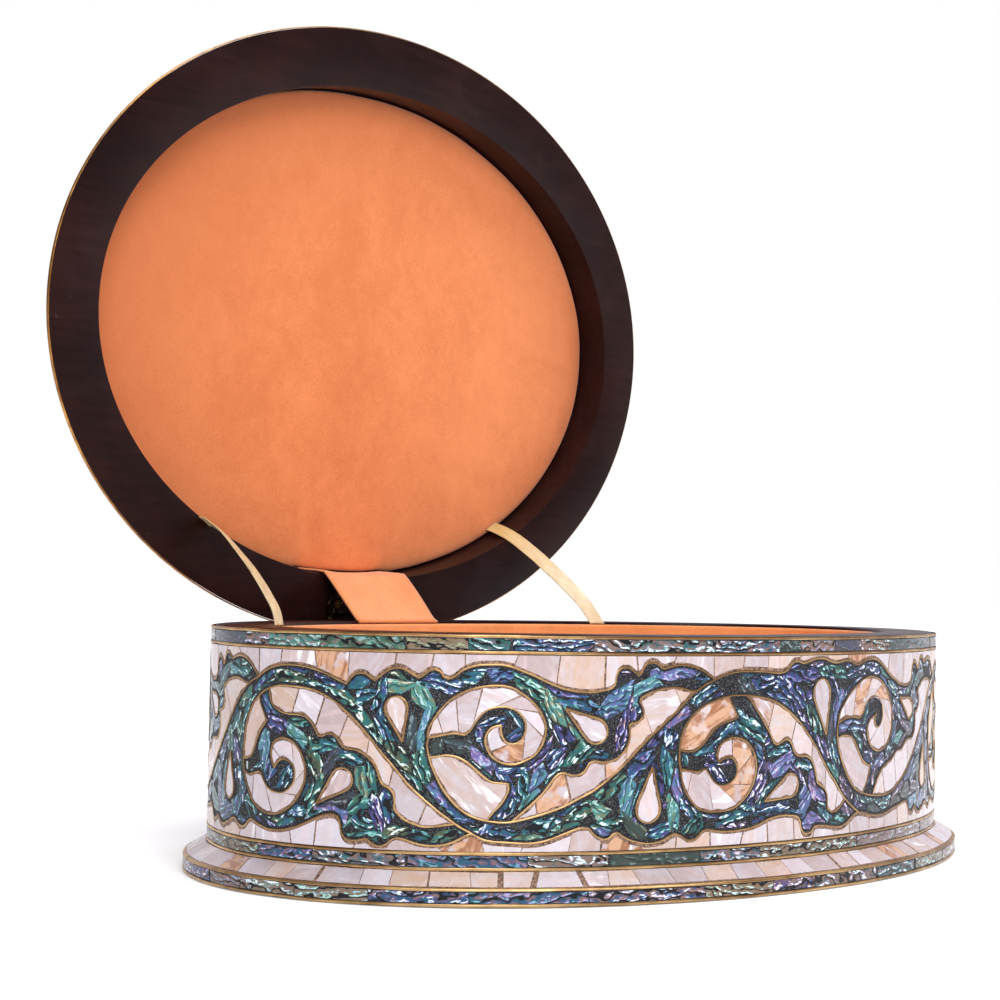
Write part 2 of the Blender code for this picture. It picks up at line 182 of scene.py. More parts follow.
ahead = Vector((
    math.sin(CAMERA_YAW) * math.cos(CAMERA_PITCH),
    math.cos(CAMERA_YAW) * math.cos(CAMERA_PITCH),
    math.sin(CAMERA_PITCH),
))
level = Vector((math.cos(CAMERA_YAW), -math.sin(CAMERA_YAW), 0.0))
upright = level.cross(ahead)
rightward = level * math.cos(CAMERA_ROLL) + upright * math.sin(CAMERA_ROLL)
upward = upright * math.cos(CAMERA_ROLL) - level * math.sin(CAMERA_ROLL)
bpy.ops.object.select_all(action="DESELECT")
bpy.ops.object.camera_add()
camera = bpy.context.object
camera.data.lens = CAMERA_LENS
camera.data.clip_start = 0.02
camera.data.clip_end = 50.0
turn = Matrix((rightward, upward, -ahead)).transposed()
camera.matrix_world = Matrix.Translation(CAMERA_PLACE) @ turn.to_4x4()
bpy.context.scene.camera = camera

world = bpy.data.worlds.new("studio")
world.use_nodes = True
sky = Paint(world.node_tree)
sky_seen = sky.add("LightPath")
sky_side = {0: sky.add("TexCoord"), 1: SKY_BRIGHT_SIDE}
sky_facing = sky.add("VectorMath", {"operation": "DOT_PRODUCT"}, sky_side, 1)
sky_fade = sky.add("MapRange", {"interpolation_type": "SMOOTHSTEP"}, {
    "Value": sky_facing, "From Min": SKY_DARK_TO, "From Max": SKY_WHITE_FROM,
    "To Min": SKY_DIM, "To Max": SKY_BRIGHT,
})
background = sky.tree.nodes["Background"]
sky.tree.links.new(sky_seen.choose(SKY_TINT, colour(1.0, 1.0, 1.0)).socket, background.inputs["Color"])
sky.tree.links.new(sky_fade.maths("MAXIMUM", sky_seen).socket, background.inputs["Strength"])
bpy.context.scene.world = world
bpy.context.scene.view_settings.view_transform = "Standard"


def soft_lamp(name, place, target, size, power, tint):
    """A large square lamp at a place, facing a target."""
    bpy.ops.object.light_add(type="AREA", location=place)
    lamp = bpy.context.object
    lamp.name = name
    lamp.data.size = size
    lamp.data.energy = power
    lamp.data.color = tint
    lamp.rotation_euler = (Vector(target) - Vector(place)).to_track_quat("-Z", "Y").to_euler()


soft_lamp("window_lamp", (-1.1, -1.3, 1.1), (0.0, 0.0, 0.1), size=1.1, power=26.0, tint=(1.0, 0.99, 0.97))
soft_lamp("top_lamp", (0.2, -0.3, 1.9), (0.0, 0.0, 0.05), size=1.4, power=30.0, tint=(0.98, 0.99, 1.0))

bpy.ops.mesh.primitive_circle_add(vertices=96, radius=FLOOR_REACH, fill_type="NGON")
floor = bpy.context.object
floor.name = "studio_floor"
floor_white, canvas = new_finish("floor_white", Base_Color=FLOOR_WHITE, Roughness=0.9, Emission_Strength=1.0)
floor_away = canvas.add("VectorMath", {"operation": "LENGTH"}, {0: canvas.coordinates()}, 1)
floor_glow = canvas.add("MapRange", {}, {
    "Value": floor_away, "From Min": GLOW_FROM, "From Max": GLOW_TO,
    "To Min": GLOW_DIM, "To Max": GLOW_BRIGHT,
})
paint_over(floor_white, Emission_Color=floor_glow)
floor.data.materials.append(floor_white)


# The satin ribbons
# Two stays of 6 mm cream satin ribbon. Each is tucked beside the lid's pad, comes out past the edge of
# the recess and goes down behind the top of the wall's lining, bowed and turning with the wall.
RIBBON_WIDE = 0.006
RIBBON_THICK = 0.00035
RIBBON_STEP = 0.0012
LID_ANGLE = math.radians(86.3)
LINING_HALF_LENGTH = 0.1316
LINING_HALF_WIDTH = 0.0826
LEFT_RIBBON_ROUTE = [
    (-0.0835, 0.1115, 0.1079), (-0.0850, 0.1010, 0.1083), (-0.0838, 0.0980, 0.1069),
    (-0.0826, 0.0940, 0.1040), (-0.0832, 0.0865, 0.0983), (-0.0860, 0.0755, 0.0908),
    (-0.0894, 0.0650, 0.0828), (-0.0918, 0.0600, 0.0786), (-0.0941, 0.0566, 0.0744),
]
RIGHT_RIBBON_ROUTE = [
    (0.0830, 0.1120, 0.1120), (0.0822, 0.1045, 0.1096), (0.0830, 0.0985, 0.1064), (0.0840, 0.0900, 0.1005),
    (0.0845, 0.0820, 0.0946), (0.0848, 0.0750, 0.0893), (0.0856, 0.0665, 0.0815), (0.0864, 0.0612, 0.0744),
]


def make_satin():
    """Cream satin of close lengthwise threads, darker and more ochre towards the lid's end, with painted
    shade on the left-hand ribbon.
    """
    made, canvas = new_finish("cream_satin", Roughness=0.38, Sheen_Weight=0.35, Sheen_Roughness=0.35)
    place = canvas.unrolled()
    threads = place.stretched((2.6, 0.12, 1.0)).grain(2.2, 2.0)
    mottle = place.stretched((0.25, 0.08, 1.0)).grain(1.4, 3.0)
    tone = (threads * 0.5 + mottle * 0.7).between(0.35, 0.85)
    body = tone.choose(colour(0.56, 0.43, 0.24), colour(0.76, 0.65, 0.44))
    down = place.axis(1)
    lid_end_ochre = tone.choose(colour(0.50, 0.32, 0.11), colour(0.66, 0.46, 0.20))
    body = (down + mottle * 14.0).between(22.0, 58.0).choose(lid_end_ochre, body)
    # Painted shade: the ribbon on the left (-x) is darkened, as less light falls on it.
    leftward = canvas.coordinates().axis(0) * -1.0
    shaded = tone.choose(colour(0.44, 0.31, 0.14), colour(0.66, 0.53, 0.30))
    body = (leftward.between(0.0, 0.05) * 0.6).choose(body, shaded)
    paint_over(made, threads, 0.35, 0.00008, Base_Color=body)
    return made


satin = make_satin()


def smooth_line(points, step):
    """A smooth line through the points, with places about a step apart. A point given twice is a corner."""
    known = [Vector(point) for point in points]
    line = []
    for index in range(len(known) - 1):
        start = known[index]
        end = known[index + 1]
        if (end - start).length < 1e-9:
            continue
        before = known[index - 1] if index > 0 else start
        after = known[index + 2] if index + 2 < len(known) else end
        count = max(1, round((end - start).length / step))
        for number in range(count):
            t = number / count
            line.append(0.5 * (
                2 * start + (end - before) * t
                + (2 * before - 5 * start + 4 * end - after) * t * t
                + (3 * start - before - 3 * end + after) * t * t * t
            ))
    line.append(known[-1])
    return line


def mesh_piece(name, corners, faces, surface, spread=None, tints=None):
    """A new object from corners and faces, with its UV map and each face's own tint where they are given."""
    mesh = bpy.data.meshes.new(name)
    mesh.from_pydata(corners, [], faces)
    mesh.materials.append(surface)
    if spread is not None:
        layer = mesh.uv_layers.new(name="surface")
        for loop in mesh.loops:
            layer.data[loop.index].uv = spread[loop.vertex_index]
    if tints is not None:
        tint = mesh.color_attributes.new("tint", "FLOAT_COLOR", "CORNER")
        for face, value in zip(mesh.polygons, tints):
            for index in face.loop_indices:
                tint.data[index].color = (*value, 1.0)
    piece = bpy.data.objects.new(name, mesh)
    bpy.context.scene.collection.objects.link(piece)
    return piece


def pick(piece):
    """Leave this object as the one that is selected and active."""
    bpy.ops.object.select_all(action="DESELECT")
    piece.select_set(True)
    bpy.context.view_layer.objects.active = piece


def apply_modifier(piece, kind, **values):
    """Add a modifier with these values and apply it."""
    pick(piece)
    modifier = piece.modifiers.new(kind.lower(), kind)
    for key, value in values.items():
        setattr(modifier, key, value)
    bpy.ops.object.modifier_apply(modifier=modifier.name)


def sheet_of_rows(name, rows, surface, widths, lengths):
    """A four-sided grid of faces through rows of points, unrolled to widths and lengths in millimetres."""
    corners = [point for row in rows for point in row]
    across = len(rows[0])
    faces = []
    for row in range(len(rows) - 1):
        for column in range(across - 1):
            first = row * across + column
            faces.append((first, first + 1, first + across + 1, first + across))
    spread = [(widths[column], lengths[row]) for row in range(len(rows)) for column in range(across)]
    return mesh_piece(name, corners, faces, surface, spread)


def make_ribbon(name, route, node, lie, untwist):
    """One stay, which lies along the lid's oval at its head and nearly along the lining's at its foot."""
    line = smooth_line(route, RIBBON_STEP)
    foot = line[-1]
    slope = -(foot.x * LINING_HALF_WIDTH ** 2) / (foot.y * LINING_HALF_LENGTH ** 2)
    shares = [-1.0, -0.94, -0.5, 0.0, 0.5, 0.94, 1.0]
    rows = []
    lengths = [0.0]
    for index, point in enumerate(line):
        lid_turn = LID_ANGLE * (1 - index / (len(line) - 1)) ** untwist
        side = Vector((1.0, slope * lie * math.cos(lid_turn), -slope * math.sin(lid_turn)))
        side *= RIBBON_WIDE / 2 / side.length
        ahead_of = line[min(index + 1, len(line) - 1)] - line[max(index - 1, 0)]
        face = side.cross(ahead_of).normalized()
        ripple = 0.00025 * noise.noise(point * 90.0)
        rows.append([point + side * share + face * (ripple + 0.0002 * share * share) for share in shares])
        if index:
            lengths.append(lengths[-1] + (point - line[index - 1]).length * 1000)
    widths = [share * RIBBON_WIDE * 500 for share in shares]
    ribbon = sheet_of_rows(name, rows, satin, widths, lengths)
    apply_modifier(ribbon, "SOLIDIFY", thickness=RIBBON_THICK, offset=0.0)
    ribbon.data.shade_smooth()
    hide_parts(node)
    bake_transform(ribbon)


make_ribbon("satin_ribbon_left", LEFT_RIBBON_ROUTE, "ribbon_left", 0.5, 2.5)
make_ribbon("satin_ribbon_right", RIGHT_RIBBON_ROUTE, "ribbon_right", 1.0, 1.0)


# The oval carcass
# The body is one turned and hollowed piece of dark stained wood: a foot with a bevel, upright walls and a
# flat rim. The hinge's leaf is let into the rim at the back.
HALF_LENGTH = 0.150
HALF_WIDTH = 0.101
HEIGHT = 0.075
WALL = 0.0184
FLOOR = 0.008
OVAL_SIDES = 288
FOOT_REACH = 0.0072
FOOT_EDGE_TOP = 0.0051
FOOT_BEVEL_TOP = 0.0093
SHELL_DEEP = 0.0012
GAP = 0.0003
WOOD_INSET = SHELL_DEEP + GAP
RIM_ROUND = 0.0005
HINGE_Y = 0.1033
HINGE_Z = 0.07515
hinge_low, hinge_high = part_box("hinge_leaf_box")
POCKET_SPARE = 0.0003
POCKET_DEEP = 0.0013
POCKET_BEHIND = 0.001
CUTTER_PAST = 0.002


def oval_form(name, section, surface, hoop=False):
    """An oval drawn out from corner to corner of its section, given as (outward, height) places.

    A hoop's section closes on itself, and any other piece is closed by a flat face at each end."""
    bpy.ops.object.select_all(action="DESELECT")
    bpy.ops.mesh.primitive_circle_add(vertices=OVAL_SIDES, radius=1.0)
    piece = bpy.context.object
    piece.name = name
    bpy.ops.object.mode_set(mode="EDIT")
    bpy.ops.mesh.select_all(action="SELECT")
    outward, height = section[0]
    size = (HALF_LENGTH + outward, HALF_WIDTH + outward, 1.0)
    bpy.ops.transform.resize(value=size, center_override=(0, 0, 0))
    bpy.ops.transform.translate(value=(0.0, 0.0, height))
    if not hoop:
        bpy.ops.mesh.duplicate()
        bpy.ops.mesh.edge_face_add()
        bpy.ops.mesh.select_all(action="DESELECT")
    bpy.ops.object.mode_set(mode="OBJECT")
    if not hoop:
        for vert in piece.data.vertices[:OVAL_SIDES]:
            vert.select = True
        for edge in piece.data.edges[:OVAL_SIDES]:
            edge.select = True
    bpy.ops.object.mode_set(mode="EDIT")
    stops = section[1:] + section[:1] if hoop else section[1:]
    for next_outward, next_height in stops:
        bpy.ops.mesh.extrude_edges_move()
        wider = (HALF_LENGTH + next_outward) / (HALF_LENGTH + outward)
        deeper = (HALF_WIDTH + next_outward) / (HALF_WIDTH + outward)
        bpy.ops.transform.resize(value=(wider, deeper, 1.0), center_override=(0, 0, 0))
        bpy.ops.transform.translate(value=(0.0, 0.0, next_height - height))
        outward, height = next_outward, next_height
    if not hoop:
        bpy.ops.mesh.edge_face_add()
    bpy.ops.mesh.select_all(action="SELECT")
    bpy.ops.mesh.remove_doubles(threshold=0.000001)
    bpy.ops.mesh.normals_make_consistent(inside=False)
    bpy.ops.object.mode_set(mode="OBJECT")
    bpy.ops.object.shade_smooth_by_angle(angle=math.radians(35))
    piece.data.materials.append(surface)
    return piece


def cut_block(piece, low, high):
    """Cut a square-cornered pocket out of a piece."""
    bpy.ops.object.select_all(action="DESELECT")
    middle = (Vector(low) + Vector(high)) / 2
    bpy.ops.mesh.primitive_cube_add(size=1.0, location=middle)
    block = bpy.context.object
    block.scale = Vector(high) - Vector(low)
    apply_modifier(piece, "BOOLEAN", operation="DIFFERENCE", solver="EXACT", object=block)
    bpy.data.objects.remove(block)


def make_wood():
    """Dark red-brown stained wood under satin lacquer, with fine lengthwise grain and small rubbed spots."""
    made, canvas = new_finish("dark_wood", Coat_Weight=0.03, Coat_Roughness=0.15, Specular_IOR_Level=0.11)
    place = canvas.coordinates()
    grain = place.stretched((9.0, 120.0, 120.0)).grain(4.0, 5.0, 0.6, 0.6)
    cloud = place.grain(28.0, 3.0)
    pores = place.stretched((30.0, 420.0, 420.0)).grain(6.0, 1.0)
    tone = (grain * 0.45 + cloud * 0.7).between(0.35, 0.85)
    stain = tone.choose(colour(0.0085, 0.0022, 0.0020), colour(0.026, 0.0070, 0.0060))
    bloom = place.stretched((1.0, 1.6, 1.6)).grain(34.0, 4.0, 0.6, 1.2).between(0.50, 0.72)
    stain = (bloom * 0.2).choose(stain, colour(0.032, 0.018, 0.021))
    rubbed = place.grain(240.0, 4.0, 0.7).between(0.66, 0.80) * place.grain(30.0, 2.0).between(0.5, 0.7)
    stain = (rubbed * 0.55).choose(stain, colour(0.16, 0.11, 0.09))
    roughness = grain * 0.22 + 0.26
    paint_over(made, grain * 0.6 + pores * 0.5, 0.25, 0.00015, Base_Color=stain, Roughness=roughness)
    return made


wood = make_wood()
foot_wood = FOOT_REACH - WOOD_INSET
carcass = oval_form("carcass", [
    (foot_wood - 0.0030, 0.0),
    (foot_wood - 0.0004, 0.0),
    (foot_wood, 0.0004),
    (foot_wood, FOOT_EDGE_TOP - GAP),
    (-WOOD_INSET, FOOT_BEVEL_TOP - GAP),
    (-WOOD_INSET, HEIGHT - RIM_ROUND),
    (-WOOD_INSET - 0.3 * RIM_ROUND, HEIGHT - 0.3 * RIM_ROUND),
    (-WOOD_INSET - RIM_ROUND, HEIGHT),
    (-WALL + RIM_ROUND, HEIGHT),
    (-WALL + 0.3 * RIM_ROUND, HEIGHT - 0.3 * RIM_ROUND),
    (-WALL, HEIGHT - RIM_ROUND),
    (-WALL, FLOOR),
], wood)
cut_block(
    carcass,
    (hinge_low.x - POCKET_SPARE, hinge_low.y - POCKET_SPARE, HEIGHT - POCKET_DEEP),
    (hinge_high.x + POCKET_SPARE, HINGE_Y + POCKET_BEHIND, HEIGHT + CUTTER_PAST),
)
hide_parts("box_carcass")
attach(carcass, "box")


# The shell and wire laid round the body
# Brass wire, mother-of-pearl and abalone are bedded in black filler and polished flush. All of it is laid
# out flat here, in millimetres along the wall from the middle of the front and up from the table.
PEARL_RISE = 0.03
STRIP_RISE = -0.05
GROUND_RISE = -0.12
BED_RISE = 0.0
BACKING_RISE = 0.01
WIRE_RISE = 0.17
WIRE_SIZE = 0.9
WIRE_SHOULDER = 0.6
WIRE_SUNK = 0.3
WIRE_SWELL = 0.16
CHIP_THICK = 0.0002
SLICE = 3.0
ARC_STEPS = 4000
FIELD_TOP = 69.3
FIELD_BOTTOM = 14.6


def measure_oval():
    """Distances along the body's oval, in millimetres from the middle of the front, and their angles."""
    angles = [-math.pi / 2 + 2 * math.pi * step / ARC_STEPS for step in range(ARC_STEPS + 1)]
    distances = [0.0]
    for first, second in zip(angles, angles[1:]):
        run_x = HALF_LENGTH * (math.cos(second) - math.cos(first))
        run_y = HALF_WIDTH * (math.sin(second) - math.sin(first))
        distances.append(distances[-1] + math.hypot(run_x, run_y) * 1000)
    return distances, angles


oval_distances, oval_angles = measure_oval()
ROUND = oval_distances[-1]


def oval_angle(along):
    """The oval's angle at a distance along it."""
    along = along % ROUND
    low = min(ARC_STEPS - 1, bisect_right(oval_distances, along) - 1)
    share = (along - oval_distances[low]) / (oval_distances[low + 1] - oval_distances[low])
    return oval_angles[low] + share * (oval_angles[low + 1] - oval_angles[low])


def on_wall(along, height, rise):
    """A place on the body's upright wall, from millimetres laid out flat."""
    angle = oval_angle(along)
    outward = rise / 1000
    x = (HALF_LENGTH + outward) * math.cos(angle)
    y = (HALF_WIDTH + outward) * math.sin(angle)
    return Vector((x, y, height / 1000))


def on_foot(along, height, rise):
    """A place on the foot: up its edge to 5.1 mm, then in along its bevel."""
    bevel = max(0.0, height - FOOT_EDGE_TOP * 1000) / ((FOOT_BEVEL_TOP - FOOT_EDGE_TOP) * 1000)
    return on_wall(along, height, rise + FOOT_REACH * 1000 * (1 - bevel))


class Layout:
    """Shell chips or wires of one piece, laid out flat, and then bent round the box as one mesh."""

    def __init__(self, seed, turn=None):
        self.turn = turn or ROUND
        self.corners = []
        self.faces = []
        self.spread = []
        self.tints = []
        self.chance = random.Random(seed)

    def chip(self, outlines, rise, lean=None, odd=None):
        """One flat chip of joined outlines.

        It has a height to lie at, a direction for its grain, and a share that says how odd its colour is."""
        chance = self.chance
        lean = chance.uniform(0, math.pi) if lean is None else lean
        odd = chance.random() if odd is None else odd
        shift = (chance.uniform(0, 900), chance.uniform(0, 900))
        tint = (chance.random(), chance.random(), odd)
        for outline in outlines:
            doubled_area = sum(
                first[0] * second[1] - second[0] * first[1]
                for first, second in zip(outline, outline[1:] + outline[:1])
            )
            if abs(doubled_area) < 0.02:
                continue
            if doubled_area < 0:
                outline = outline[::-1]
            first = len(self.corners)
            for along, height in outline:
                self.corners.append((along, rise, height))
                turned = along * math.cos(lean) + height * math.sin(lean)
                across = height * math.cos(lean) - along * math.sin(lean)
                self.spread.append((turned + shift[0], across + shift[1]))
            self.faces.append(tuple(range(first, first + len(outline))))
            self.tints.append(tint)

    def wire(self, line, size=WIRE_SIZE, rise=WIRE_RISE, closed=False):
        """One wire with a rounded back along a line, whose last place joins its first if it is closed."""
        count = len(line)
        low = rise * WIRE_SHOULDER
        section = [
            (-0.5, -WIRE_SUNK), (-0.42, low), (-0.18, rise), (0.18, rise), (0.42, low), (0.5, -WIRE_SUNK),
        ]
        wide = len(section)
        first = len(self.corners)
        run = 0.0
        for index, point in enumerate(line):
            before = line[index - 1] if index or closed else line[0]
            after = line[(index + 1) % count] if index + 1 < count or closed else line[-1]
            along = (after[0] - before[0] + self.turn / 2) % self.turn - self.turn / 2
            height = after[1] - before[1]
            length = math.hypot(along, height) or 1.0
            swell = 1.0 + WIRE_SWELL * noise.noise(Vector((point[0] * 0.11, point[1] * 0.11, 3.0)))
            for side, up in section:
                reach = side * size * swell
                corner = (point[0] - height / length * reach, up, point[1] + along / length * reach)
                self.corners.append(corner)
                self.spread.append((run, side * size))
            run += length / 2
        shade = (self.chance.random(), self.chance.random(), 0.0)
        for index in range(count if closed else count - 1):
            start = first + index * wide
            end = first + (index + 1) % count * wide
            for side in range(wide):
                other = (side + 1) % wide
                self.faces.append((start + side, end + side, end + other, start + other))
                self.tints.append(shade)
        if not closed:
            self.faces.append(tuple(first + side for side in range(wide)))
            self.faces.append(tuple(first + (count - 1) * wide + side for side in reversed(range(wide))))
            self.tints += [shade, shade]

    def bend(self, name, surface, place, sliced=True, thick=CHIP_THICK, upright=True):
        """Slice the chips so that they follow the curve, put every corner in place, and thicken them.

        Chips on an upright wall are sliced along it alone, and others both ways."""
        piece = mesh_piece(name, self.corners, self.faces, surface, self.spread, self.tints)
        if sliced:
            work = bmesh.new()
            work.from_mesh(piece.data)
            bmesh.ops.remove_doubles(work, verts=work.verts, dist=0.001)
            for axis in (0,) if upright else (0, 2):
                way = Vector((1.0, 0.0, 0.0)) if axis == 0 else Vector((0.0, 0.0, 1.0))
                low = min(vert.co[axis] for vert in work.verts)
                high = max(vert.co[axis] for vert in work.verts)
                for cut in range(math.ceil(low / SLICE), math.floor(high / SLICE) + 1):
                    bmesh.ops.bisect_plane(
                        work, geom=work.verts[:] + work.edges[:] + work.faces[:], dist=0.0001,
                        plane_co=way * cut * SLICE, plane_no=way,
                    )
            work.to_mesh(piece.data)
            work.free()
        for vert in piece.data.vertices:
            vert.co = place(vert.co.x, vert.co.z, vert.co.y)
        piece.data.update()
        if thick:
            apply_modifier(piece, "SOLIDIFY", thickness=thick, offset=-1.0)
        pick(piece)
        bpy.ops.object.shade_smooth_by_angle(angle=math.radians(40))
        return piece


def shell_tone(canvas):
    """This chip's two chances from 0 to 1, and how odd it is, read from its tint."""
    tint = canvas.add("Attribute", {"attribute_name": "tint"})
    split = tint.add("SeparateColor", {}, {0: tint})
    odd = Paint(canvas.tree, split.socket.node.outputs[2])
    second = Paint(canvas.tree, split.socket.node.outputs[1])
    return split, second, odd


def make_pearl():
    """Mother-of-pearl: pinkish white to cream, softly clouded, with an odd chip of streaked amber shell."""
    made, canvas = new_finish("mother_of_pearl", Coat_Weight=0.25, Coat_Roughness=0.1)
    first, second, odd = shell_tone(canvas)
    place = canvas.unrolled()
    streaks = place.stretched((0.07, 0.34, 1.0)).grain(1.0, 3.0, 0.55, 1.0)
    clouds = place.stretched((0.20, 0.20, 1.0)).grain(1.0, 3.0)
    sheen = place.stretched((0.05, 0.16, 1.0), (3.0, 8.0, 0.0)).grain(1.0, 1.0, 0.5, 1.6)
    pale = (streaks * 0.35 + clouds * 0.5 + first * 0.5).between(0.35, 1.05)
    body = pale.choose(colour(0.45, 0.345, 0.345), colour(0.66, 0.605, 0.670))
    body = (second.between(0.55, 1.0) * 0.65).choose(body, colour(0.61, 0.440, 0.340))
    body = (sheen.between(0.54, 0.68) * 0.35).choose(body, colour(0.74, 0.55, 0.58))
    body = (sheen.between(0.48, 0.34) * 0.35).choose(body, colour(0.54, 0.55, 0.65))
    bands = (streaks * 15.0 + clouds * 4.0).maths("SINE").between(-0.9, 0.9)
    body = (bands * second.between(0.50, 0.85) * 0.30).choose(body, colour(0.62, 0.38, 0.22))
    glint = streaks.between(0.56, 0.68) * odd.between(0.55, 0.85) * 0.85
    body = glint.choose(body, colour(0.95, 0.92, 0.95))
    amber = bands.choose(colour(0.34, 0.130, 0.050), colour(0.60, 0.340, 0.205))
    amber = clouds.between(0.48, 0.64).choose(amber, body)
    body = odd.between(0.895, 0.905).choose(body, amber)
    roughness = clouds * 0.25 + 0.14
    paint_over(made, streaks * 0.5 + clouds * 0.3, 0.10, 0.0001, Base_Color=body, Roughness=roughness)
    return made


def make_abalone(name="abalone", browned=0.0):
    """Abalone: green, blue and violet layers parted by wavy black lines, with silvery glints beside them."""
    made, canvas = new_finish(name, Coat_Weight=0.06, Coat_Roughness=0.1, Specular_IOR_Level=0.2)
    first, second, odd = shell_tone(canvas)
    place = canvas.unrolled()
    rightward = canvas.coordinates().axis(0)
    across = place.axis(1)
    bends = place.stretched((0.09, 0.16, 1.0)).grain(1.0, 2.0, 0.5, 0.5)
    waves = place.stretched((0.24, 0.42, 1.0), (31.0, 5.0, 0.0)).grain(1.0, 1.0, 0.5, 0.4)
    patches = place.stretched((0.42, 0.75, 1.0), (7.0, 3.0, 0.0)).grain(1.0, 2.0, 0.5, 0.4)
    streaks = place.stretched((0.46, 1.30, 1.0), (9.0, 2.0, 0.0)).grain(1.0, 3.0, 0.6, 0.8)
    phase = across * 2.4 + bends * 21.0 + waves * 9.5
    layers = phase.maths("SINE")
    lee = phase.maths("COSINE").between(-0.2, 0.5)
    plain = second.between(0.80, 0.88)
    # Painted light: the hue turns towards violet to the right (+x), standing in for the shell's shimmer
    # changing with the light across the wall.
    hue = patches * 1.1 + first * 0.66 + rightward * 1.2 - 0.34
    tone = hue.ramp(
        (0.00, (0.085, 0.105, 0.060)), (0.15, (0.028, 0.150, 0.120)), (0.38, (0.024, 0.130, 0.185)),
        (0.54, (0.030, 0.080, 0.215)), (0.72, (0.075, 0.055, 0.240)), (0.92, (0.150, 0.095, 0.130)),
    )
    silver = hue.ramp(
        (0.00, (0.56, 0.62, 0.40)), (0.14, (0.26, 0.68, 0.58)), (0.36, (0.34, 0.74, 0.82)),
        (0.54, (0.36, 0.50, 0.86)), (0.70, (0.50, 0.42, 0.86)), (0.88, (0.86, 0.58, 0.68)),
    )
    # Painted shade: the shell darkens towards the right (+x), as if lit from the left.
    shade = streaks * 0.8 + waves * 0.4 + layers * 0.10 + plain * 0.15 - rightward * 0.8 - 0.44
    body = shade.between(-0.10, 0.45).choose(colour(0.008, 0.014, 0.022), tone)
    body = (plain * 0.16).choose(body, silver)
    if browned:
        body = ((patches - odd * 0.4).between(0.10, 0.40) * browned).choose(body, colour(0.270, 0.165, 0.105))
    lively = 1.0 - plain * 0.6
    flash = layers.between(-0.70, -0.20) * lee * streaks.between(0.46, 0.56) * lively
    body = (flash * (second.between(0.0, 0.35) * 0.6 + 0.4)).choose(body, silver)
    sparks = flash * streaks.between(0.52, 0.58) * second.between(0.10, 0.45)
    body = (sparks * 0.9).choose(body, colour(0.90, 0.95, 0.97))
    body = (layers.between(-0.66, -0.86) * (1.0 - plain * 0.4)).choose(body, colour(0.004, 0.005, 0.008))
    body = (odd.between(0.92, 0.95) * 0.75).choose(body, colour(0.040, 0.046, 0.040))
    paint_over(made, layers * 0.1 + waves * 0.4, 0.16, 0.0001, Base_Color=body, Roughness=waves * 0.25 + 0.13)
    return made


def make_filler():
    """The black filler between the chips, speckled with ground shell."""
    made, canvas = new_finish("black_filler", Specular_IOR_Level=0.1)
    place = canvas.coordinates().stretched((1000.0, 1000.0, 1000.0))
    specks = place.grain(2.5, 2.0, 0.7)
    clouds = place.grain(0.35, 2.0)
    body = clouds.choose(colour(0.008, 0.009, 0.011), colour(0.026, 0.026, 0.030))
    body = (specks.between(0.54, 0.66) * 0.8).choose(body, colour(0.20, 0.19, 0.20))
    paint_over(made, specks, 0.2, 0.0001, Base_Color=body, Roughness=specks * 0.3 + 0.35)
    return made


def make_joint_filler():
    """The brownish filler that shows in the joints of the pearl and beside its wires."""
    made, canvas = new_finish("brown_filler", Specular_IOR_Level=0.3)
    place = canvas.coordinates().stretched((1000.0, 1000.0, 1000.0))
    specks = place.grain(1.5, 3.0, 0.7)
    clouds = place.grain(0.55, 3.0, 0.6)
    body = specks.between(0.36, 0.64).choose(colour(0.075, 0.038, 0.026), colour(0.38, 0.235, 0.160))
    body = (clouds.between(0.54, 0.66) * 0.75).choose(body, colour(0.026, 0.018, 0.015))
    paint_over(made, specks, 0.2, 0.0001, Base_Color=body, Roughness=specks * 0.3 + 0.3)
    return made


def make_brass(name="brass", bright=colour(0.61, 0.395, 0.180), dull=colour(0.26, 0.145, 0.060)):
    """Brass wire polished with the shell: pale gold, browner where it has tarnished."""
    made, canvas = new_finish(name, Metallic=1.0)
    place = canvas.coordinates()
    tarnish = place.grain(160.0, 4.0, 0.65)
    patches = place.grain(20.0, 2.0)
    tone = (tarnish * 0.5 + patches * 0.8).between(0.45, 0.80)
    body = tone.choose(bright, dull)
    paint_over(made, tarnish, 0.15, 0.00008, Base_Color=body, Roughness=tarnish * 0.3 + 0.24)
    return made


pearl = make_pearl()
abalone = make_abalone()
band_abalone = make_abalone("band_abalone", 0.75)
filler = make_filler()
joint_filler = make_joint_filler()
brass = make_brass()


